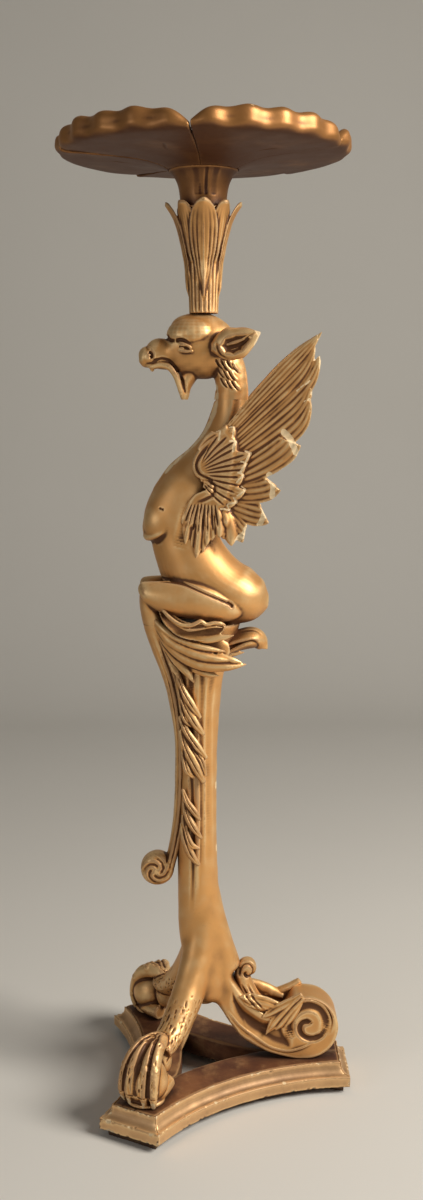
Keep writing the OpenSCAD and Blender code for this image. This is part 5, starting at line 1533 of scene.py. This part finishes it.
def column_and_legs():
    """The column and its three legs, fused so that they flow into each other, then parted."""
    trunk = column_rows()
    trunk[:5] = in_middle(FORK_Z, [(-1, -2, 12, 12, 0), (-2, 12, 17, 17, 0), (-4, 34, 19, 19, 0),
                                   (-6, 56, 21, 21, 0), (-8, 80, 22.5, 22.5, 0)])
    parts = [limb(trunk, sides=72), volute_block()]
    for corner in (-120, 120):
        parts.extend(paw_parts(corner))
    # The flare from the column into the legs
    for corner in CORNERS.values():
        flare = in_middle(FORK_Z, [(-2, 200, 12, 14, 0), (0, 156, 14.5, 16, 2), (4, 120, 17, 18, 5),
                                   (9, 90, 19, 19, 10), (17, 62, 19.5, 19.5, 20), (28, 36, 18, 18.5, 31)])
        parts.append(loft(turned(oval_rings(flare), corner)))
    # Webs between the roots of the legs
    for turn in (-60, 60, 180):
        web = in_middle(FORK_Z, [(19, 6, 5, 10, 0), (20, 14, 9.5, 19, 0), (18.5, 36, 12, 24, 0),
                                 (14, 66, 12.5, 22, 0), (9, 104, 13, 18, 0), (4, 140, 11, 14, 0)])
        parts.append(loft(turned(oval_rings(web), turn)))
    carving = Carving(fused(parts, 1.0, 4))
    # Blends the roots of the legs
    rise = carving.co[:, 2] - FORK_Z
    reach = np.linalg.norm(carving.co[:, :2], axis=1)
    blend = np.clip((rise + 12) / 26, 0, 1) * np.clip((215 - rise) / 60, 0, 1)
    blend = blend * np.clip((78 - reach) / 26, 0, 1)
    carving.melt(blend * 0.55, int(150 / bpy.context.scene.stand_sizes.voxel ** 2))
    # Sunk sides of the volute leg, which slope down from its border to a hollow under the leaves
    sunk = fair(above(PLINTH_Z, [
        (31, 88), (37, 79), (46, 69), (57, 59), (70, 51), (84, 49), (95, 46), (99, 36), (103, 24),
        (101, 13.5), (90, 12), (77, 15.5), (64.9, 23), (52, 32), (41, 42), (32, 56), (28.5, 72)]), 4)
    centre = (121.8, PLINTH_Z + 40.0)

    def round_roll(points, n=6):
        return fair([(centre[0] + r * math.cos(math.radians(a)), centre[1] + r * math.sin(math.radians(a)))
                     for a, r in points], n)

    for side in (LEFT, RIGHT):
        carving.hollow(sunk, 4.0, 12.0, side, 12.0)
    carving.settle()
    # Broad hollow band that winds in over the roll, with thin bright lines at its edges
    band = round_roll([(215, 25), (180, 24), (150, 24.5), (120, 25.5), (90, 26), (60, 25), (30, 22.5),
                       (0, 20), (-30, 18)])
    carving.both(band, 7.5, 3.2, ends=(0.1, 0.2), sharp=1.6)
    inner = round_roll([(-5, 19.5), (-35, 17.5), (-65, 15.5), (-95, 14), (-125, 12.6), (-155, 11.4),
                        (-185, 10.2), (-215, 8.8), (-245, 7.2), (-275, 5.4), (-305, 3.6)])
    carving.both(inner, 4.6, 3.2, ends=(0.25, 0.1), sharp=1.4)
    line = round_roll([(186, 31), (150, 33.6), (120, 34.6), (90, 34.4), (60, 32.4), (35, 30), (10, 28),
                       (-20, 26)])
    carving.both(line, 1.7, 1.7, ends=(0.05, 0.2), sharp=1.1)
    # Line inside the lower border, which runs on towards the eye
    border = fair(above(PLINTH_Z, [(26, 62), (36, 47.5), (45.2, 38.5), (64.9, 23), (77, 15.5), (90, 11.5),
                                   (100, 11), (112, 14), (123, 19.5), (132, 28)]), 4)
    carving.both(border, 2.0, -0.9, ends=(0.1, 0.2))
    carving.settle()
    # Flutes of the column
    flutes = [
        ([(-16, 340), (-15.5, 290), (-14.5, 249), (-14, 208), (-14.5, 157), (-16, 116)], 3.4, 1.4),
        ([(-9.5, 345), (-9, 290), (-8.5, 230), (-9, 170), (-10, 130)], 3.6, -0.8),
        ([(14, 420), (8, 390), (4, 350), (4, 250), (5, 160)], 5.0, 0.9),
        ([(-3, 440), (-3, 390), (-4, 330), (-4, 250), (-5, 170)], 4.4, 0.8),
        ([(-14, 436), (-15, 400), (-16, 370)], 5.0, 1.6),
    ]
    for path, wide, deep in flutes:
        carving.both([(x, FORK_Z + z) for x, z in path], wide, deep, ends=(0.15, 0.3), sharp=1.5)
    carving.stroke([(17, 0, FORK_Z + z) for z in (150, 200, 260, 330)], 7.0, 0.8, sharp=1.6)
    # Worn spots on the column's right edge
    for x, y, z in ((14, -8, 266), (15, -4, 272), (14.5, -10, 258), (18, 0, 300), (14, -6, 190),
                    (13, -14, 396)):
        carving.stroke([(x, y, FORK_Z + z - 2), (x, y, FORK_Z + z + 3)], 2.8, 0.4, ends=(0, 0), chip=1.0)
    carving.settle()
    for seed, corner in ((31, -120), (47, 120)):
        carve_paw(carving, corner, seed)
    carving.wobble(bpy.context.scene.stand_sizes.hand_wobble, 24.0, 6)
    whole = carving.finished(5, 60)
    parting = FORK_Z + LEG_TOP
    column = kept_part(whole, [((0, 0, parting), (0, 0, -1)), ((0, 0, SEAT_Z), (0, 0, 1))])
    publish("column", column, carved_gilt(), "carved_gilt", "column")
    for name, corner in CORNERS.items():
        planes = [((0, 0, parting), (0, 0, 1))]
        for turn in (-60, 60):
            a = math.radians(corner + turn + math.copysign(90, turn))
            planes.append(((0, 0, 0), (math.cos(a), math.sin(a), 0)))
        leg = kept_part(whole, planes)
        publish(name, leg, carved_gilt(), "carved_gilt", name)
    bpy.data.meshes.remove(whole)


def volute_leaf():
    """The leaf over the top of the volute leg: its lobes hug both sides and its curled tip stands free."""
    path = in_middle(PLINTH_Z, [
        (96, 57, 10), (88, 54.5, 15), (80, 54, 18), (70, 57.5, 19), (60, 66, 18), (51, 76, 15)])
    parts = [leaf(path, (0.5, 0, 1), ribs=5, rib=1.2, crown=1.5, thick=7.0, across=45)]
    # Thick neck of the curl
    parts.append(limb(in_middle(PLINTH_Z, [
        (72, 56, 5, 17, 40), (60, 65, 8, 16, 44), (51, 76, 10, 14, 36), (45.5, 88, 10, 12, 18),
        (43.5, 98, 9, 10.5, 0), (44.5, 106, 7, 9.5, -20)])))
    parts.append(domed_roll(49.5, PLINTH_Z + 106.5, 11.2, 11.5, 0.4, 48, 12, 0.96, 3.0, 0.45))
    for side in (LEFT, RIGHT):
        for k, lobe in enumerate(VOLUTE_LOBES):
            last = len(lobe) - 1
            rows = [(x, side * (VOLUTE_HALF + 0.8 + 0.3 * k - 2.6 * (1 - i / last) ** 2), PLINTH_Z + h, half)
                    for i, (x, h, half) in enumerate(lobe)]
            parts.append(leaf(rows, (0, side, 0), ribs=1 if k in (1, 4, 5) else 2, rib=1.3, crown=2.4,
                              thick=7.0, across=29))
    carving = Carving(fused(parts, 0.8, 2), PLINTH_Z)
    for side in (LEFT, RIGHT):
        carving.stroke([(40, 97), (40.5, 106), (45, 113), (52, 113.5), (57, 107), (55.5, 100), (50, 97.5),
                        (46.5, 101), (48.5, 105.5)], 2.4, 2.2, side=side, ends=(0.1, 0.1))
        for x in (-3.4, 3.4):
            carving.stroke([(66 + x, 62), (53 + x, 77), (46 + x, 90)], 2.0, 1.3, side=side, ends=(0.2, 0.3))
    carving.wobble(0.2, 14.0, 23)
    publish("volute_leaf", carving.finished(4, 40), carved_gilt(), "carved_gilt", "volute_leaf")


# Plinth


def board(node):
    carving = Carving(fused([copied(node)], 1.5, 2))
    carving.wobble(0.25, 40.0, 24)
    rng = np.random.default_rng(len(node))
    low, high = low_of(node), high_of(node)
    for _ in range(40):
        x, y = rng.uniform(low.x, high.x), rng.uniform(low.y, high.y)
        turn = rng.uniform(0, math.pi)
        size = rng.uniform(6, 26)
        line = [(x, y, PLINTH_Z), (x + size * math.cos(turn), y + size * math.sin(turn), PLINTH_Z)]
        carving.stroke(line, rng.uniform(1.6, 2.6), rng.uniform(0.15, 0.4), ends=(0.2, 0.2))
    finish = worn_wood("worn board", bpy.context.scene.stand_colours.board, (0.10, 0.032, 0.013),
                       (1.0, 1.0, 2.0), (0.46, 0.25, 0.10))
    publish(node, carving.finished(3, 20), finish, "worn_board", node)


def moulding(node):
    carving = Carving(fused([copied(node)], 0.9, 1))
    carving.wobble(0.22, 30.0, 25)
    rng = np.random.default_rng(sum(ord(c) for c in node))
    # Knocks along the arrises
    ridge = carving.relief(5)
    sharp = np.nonzero(ridge > 0.22)[0]
    for k in rng.choice(sharp, 60):
        at = carving.co[k]
        size = rng.uniform(1.2, 3.4)
        carving.stroke([at - [0.5, 0, 0], at, at + [0.5, 0, 0]], size, rng.uniform(0.2, 0.8), ends=(0, 0),
                       chip=rng.choice([0.0, 0.5, 1.0]))
    carving.settle()
    publish(node, carving.finished(4, 30), moulding_gilt(), "moulding_gilt", node)


def pad(node):
    carving = Carving(fused([copied(node)], 1.1, 2))
    carving.wobble(0.25, 20.0, 26)
    finish = worn_wood("pad wood", (0.30, 0.16, 0.07), (0.10, 0.04, 0.018), (1.0, 6.0, 6.0),
                       (0.50, 0.30, 0.13))
    publish(node, carving.finished(3, 20), finish, "pad_wood", node)


def inner_fixings():
    """Dowels and screws inside the joints keep their CAD shape and get wood and steel."""
    dowel_wood = worn_wood("dowel wood", (0.52, 0.34, 0.18), (0.34, 0.20, 0.10), (1.0, 9.0, 9.0))
    for name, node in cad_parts.items():
        if node.hide_render:
            continue
        finish = dull_steel() if "screw" in name else dowel_wood
        node.data.materials.clear()
        node.data.materials.append(finish)


# Stage

PHOTO_W, PHOTO_H = 423, 1200
FOCAL_PX = 1361.2
SENSOR = 36.0
CAMERA_BACK, CAMERA_UP = 1.5364, 0.8071
CAMERA_TURN, CAMERA_PITCH, CAMERA_YAW, CAMERA_ROLL = -0.0005, 0.1456, -0.0052, -0.0017


def camera():
    """The camera where the photograph was taken from."""
    turn = Matrix.Rotation(CAMERA_TURN, 3, "Z")
    back = turn @ Vector((0.0, -1.0, 0.0))
    ahead = Matrix.Rotation(CAMERA_YAW, 3, "Z") @ -back
    right = ahead.cross(Vector((0.0, 0.0, 1.0)))
    up = Vector((0.0, 0.0, 1.0))
    view = ahead * math.cos(CAMERA_PITCH) - up * math.sin(CAMERA_PITCH)
    top = up * math.cos(CAMERA_PITCH) + ahead * math.sin(CAMERA_PITCH)
    right, top = (right * math.cos(CAMERA_ROLL) + top * math.sin(CAMERA_ROLL),
                  top * math.cos(CAMERA_ROLL) - right * math.sin(CAMERA_ROLL))
    lens = bpy.data.cameras.new("camera")
    lens.sensor_width = SENSOR
    lens.lens = FOCAL_PX / max(PHOTO_W, PHOTO_H) * SENSOR
    lens.clip_start = 0.01
    eye = bpy.data.objects.new("camera", lens)
    place = Matrix((right, top, -view)).transposed().to_4x4()
    place.translation = back * CAMERA_BACK + up * CAMERA_UP
    eye.matrix_world = place
    bpy.context.scene.collection.objects.link(eye)
    bpy.context.scene.camera = eye


def soft_light(name, place, aim, size, power, colour=(1.0, 1.0, 1.0)):
    lamp = bpy.data.lights.new(name, "AREA")
    lamp.shape = "DISK"
    lamp.size = size
    lamp.energy = power
    lamp.color = colour
    holder = bpy.data.objects.new(name, lamp)
    facing = (Vector(place) - Vector(aim)).to_track_quat("Z", "Y")
    holder.matrix_world = Matrix.Translation(place) @ facing.to_matrix().to_4x4()
    bpy.context.scene.collection.objects.link(holder)


def pale_stage():
    """A pale floor that sweeps up into a backdrop."""
    material, nodes, shader = new_finish("pale stage")
    place = nodes.add("ShaderNodeTexCoord").outputs["Object"]
    tone = nodes.mix(nodes.noise(place, 2.0, 3.0), (0.76, 0.73, 0.67, 1), (0.80, 0.77, 0.71, 1))
    # The floor looks pale, but throws little light back on the stand
    ray = nodes.add("ShaderNodeLightPath").outputs
    seen = nodes.math("MAXIMUM", nodes.math("MAXIMUM", ray["Is Camera Ray"], ray["Is Glossy Ray"]),
                      ray["Is Transmission Ray"])
    tone = nodes.mix(seen, (0.50, 0.49, 0.46, 1), tone)
    wired(material, shader, Base_Color=tone)
    shader.inputs["Roughness"].default_value = 0.85
    bm = bmesh.new()
    wide, front, back, tall, bend = 7.0, -6.0, 2.6, 4.5, 0.8
    verts = [bm.verts.new((-wide, front, 0.0)), bm.verts.new((-wide, back - bend, 0.0))]
    for k in range(1, 13):
        a = math.radians(90 * k / 12)
        verts.append(bm.verts.new((-wide, back - bend + bend * math.sin(a), bend - bend * math.cos(a))))
    verts.append(bm.verts.new((-wide, back, tall)))
    edges = [bm.edges.new(pair) for pair in zip(verts, verts[1:])]
    swept = bmesh.ops.extrude_edge_only(bm, edges=edges)["geom"]
    bmesh.ops.translate(bm, vec=(2 * wide, 0, 0),
                        verts=[v for v in swept if isinstance(v, bmesh.types.BMVert)])
    bmesh.ops.recalc_face_normals(bm, faces=bm.faces)
    mesh = bpy.data.meshes.new("stage")
    bm.to_mesh(mesh)
    bm.free()
    smooth_shaded(mesh)
    mesh.materials.append(material)
    stage = bpy.data.objects.new("stage", mesh)
    bpy.context.scene.collection.objects.link(stage)


def room():
    world = bpy.data.worlds.new("room")
    world.use_nodes = True
    sky = world.node_tree.nodes["Background"]
    sky.inputs["Color"].default_value = (1.0, 0.94, 0.87, 1.0)
    sky.inputs["Strength"].default_value = bpy.context.scene.stand_stage.world_level
    bpy.context.scene.world = world


# Operators


class Maker:
    bl_options = {"REGISTER", "UNDO"}


class STAND_OT_stage(Maker, bpy.types.Operator):
    """Camera, soft lights and a pale floor"""
    bl_idname = "stand.stage"
    bl_label = "Stage"

    def execute(self, context):
        settings = context.scene.stand_stage
        camera()
        room()
        pale_stage()
        soft_light("key", (1.75, -0.85, 1.8), (0.0, 0.0, 0.6), 1.2, settings.key_power, (1.0, 0.96, 0.90))
        soft_light("fill", (-1.8, -1.6, 1.0), (0.0, 0.0, 0.6), 1.2, settings.fill_power)
        context.scene.view_settings.view_transform = "Standard"
        return {"FINISHED"}


class STAND_OT_plinth(Maker, bpy.types.Operator):
    """Boards, mouldings and pads of the plinth"""
    bl_idname = "stand.plinth"
    bl_label = "Plinth"

    def execute(self, context):
        for place in ("left", "right", "front"):
            board(f"{place}_board")
            moulding(f"{place}_moulding")
        for corner in ("volute", "left_paw", "right_paw"):
            moulding(f"{corner}_end_moulding")
            pad(f"{corner}_pad")
        return {"FINISHED"}


class STAND_OT_column_and_legs(Maker, bpy.types.Operator):
    """Column, volute leg and the two paw legs"""
    bl_idname = "stand.column_and_legs"
    bl_label = "Column and Legs"

    def execute(self, context):
        column_and_legs()
        volute_leaf()
        return {"FINISHED"}


class STAND_OT_scroll(Maker, bpy.types.Operator):
    """Front scroll and the leaf sprays beside it"""
    bl_idname = "stand.scroll"
    bl_label = "Scroll and Sprays"

    def execute(self, context):
        front_scroll()
        leaf_spray(LEFT, "left_leaf_spray")
        leaf_spray(RIGHT, "right_leaf_spray")
        return {"FINISHED"}


class STAND_OT_beast(Maker, bpy.types.Operator):
    """Body and head of the beast"""
    bl_idname = "stand.beast"
    bl_label = "Beast"

    def execute(self, context):
        beast_body()
        beast_head()
        return {"FINISHED"}


class STAND_OT_wings(Maker, bpy.types.Operator):
    """Left and right wing"""
    bl_idname = "stand.wings"
    bl_label = "Wings"

    def execute(self, context):
        wing(LEFT, "left_wing")
        wing(RIGHT, "right_wing")
        return {"FINISHED"}


class STAND_OT_leaves(Maker, bpy.types.Operator):
    """Skirt leaves under the thighs and the tail leaf"""
    bl_idname = "stand.leaves"
    bl_label = "Skirt and Tail Leaves"

    def execute(self, context):
        skirt_leaves(LEFT, "left_skirt_leaves")
        skirt_leaves(RIGHT, "right_skirt_leaves")
        tail_leaf()
        return {"FINISHED"}


class STAND_OT_dish(Maker, bpy.types.Operator):
    """Stem, calyx, neck and the five petals of the dish"""
    bl_idname = "stand.dish"
    bl_label = "Stem and Dish"

    def execute(self, context):
        stem_and_calyx()
        dish_neck()
        for index in range(1, PETALS + 1):
            petal(index)
        return {"FINISHED"}


class STAND_OT_fixings(Maker, bpy.types.Operator):
    """Finish of the dowels and screws inside"""
    bl_idname = "stand.fixings"
    bl_label = "Inner Fixings"

    def execute(self, context):
        inner_fixings()
        return {"FINISHED"}


class STAND_PT_panel(bpy.types.Panel):
    """Steps that dress the vase stand"""
    bl_idname = "STAND_PT_panel"
    bl_label = "Vase Stand"
    bl_space_type = "VIEW_3D"
    bl_region_type = "UI"
    bl_category = "Vase Stand"

    def draw(self, context):
        layout = self.layout
        for group in (context.scene.stand_sizes, context.scene.stand_colours, context.scene.stand_stage):
            for name in group.__annotations__:
                layout.prop(group, name)
        for operator in OPERATORS:
            layout.operator(operator.bl_idname)


OPERATORS = (
    STAND_OT_stage, STAND_OT_plinth, STAND_OT_column_and_legs, STAND_OT_scroll, STAND_OT_beast,
    STAND_OT_wings, STAND_OT_leaves, STAND_OT_dish, STAND_OT_fixings,
)
GROUPS = {"stand_sizes": StandSizes, "stand_colours": StandColours, "stand_stage": StageSettings}


def register():
    for group in GROUPS.values():
        bpy.utils.register_class(group)
    for name, group in GROUPS.items():
        setattr(bpy.types.Scene, name, bpy.props.PointerProperty(type=group))
    for part in (*OPERATORS, STAND_PT_panel):
        bpy.utils.register_class(part)


def unregister():
    for part in (STAND_PT_panel, *reversed(OPERATORS)):
        bpy.utils.unregister_class(part)
    for name, group in GROUPS.items():
        delattr(bpy.types.Scene, name)
        bpy.utils.unregister_class(group)


def main():
    register()
    for operator in OPERATORS:
        _, step = operator.bl_idname.split(".")
        getattr(bpy.ops.stand, step)()


if __name__ == "__main__":
    main()
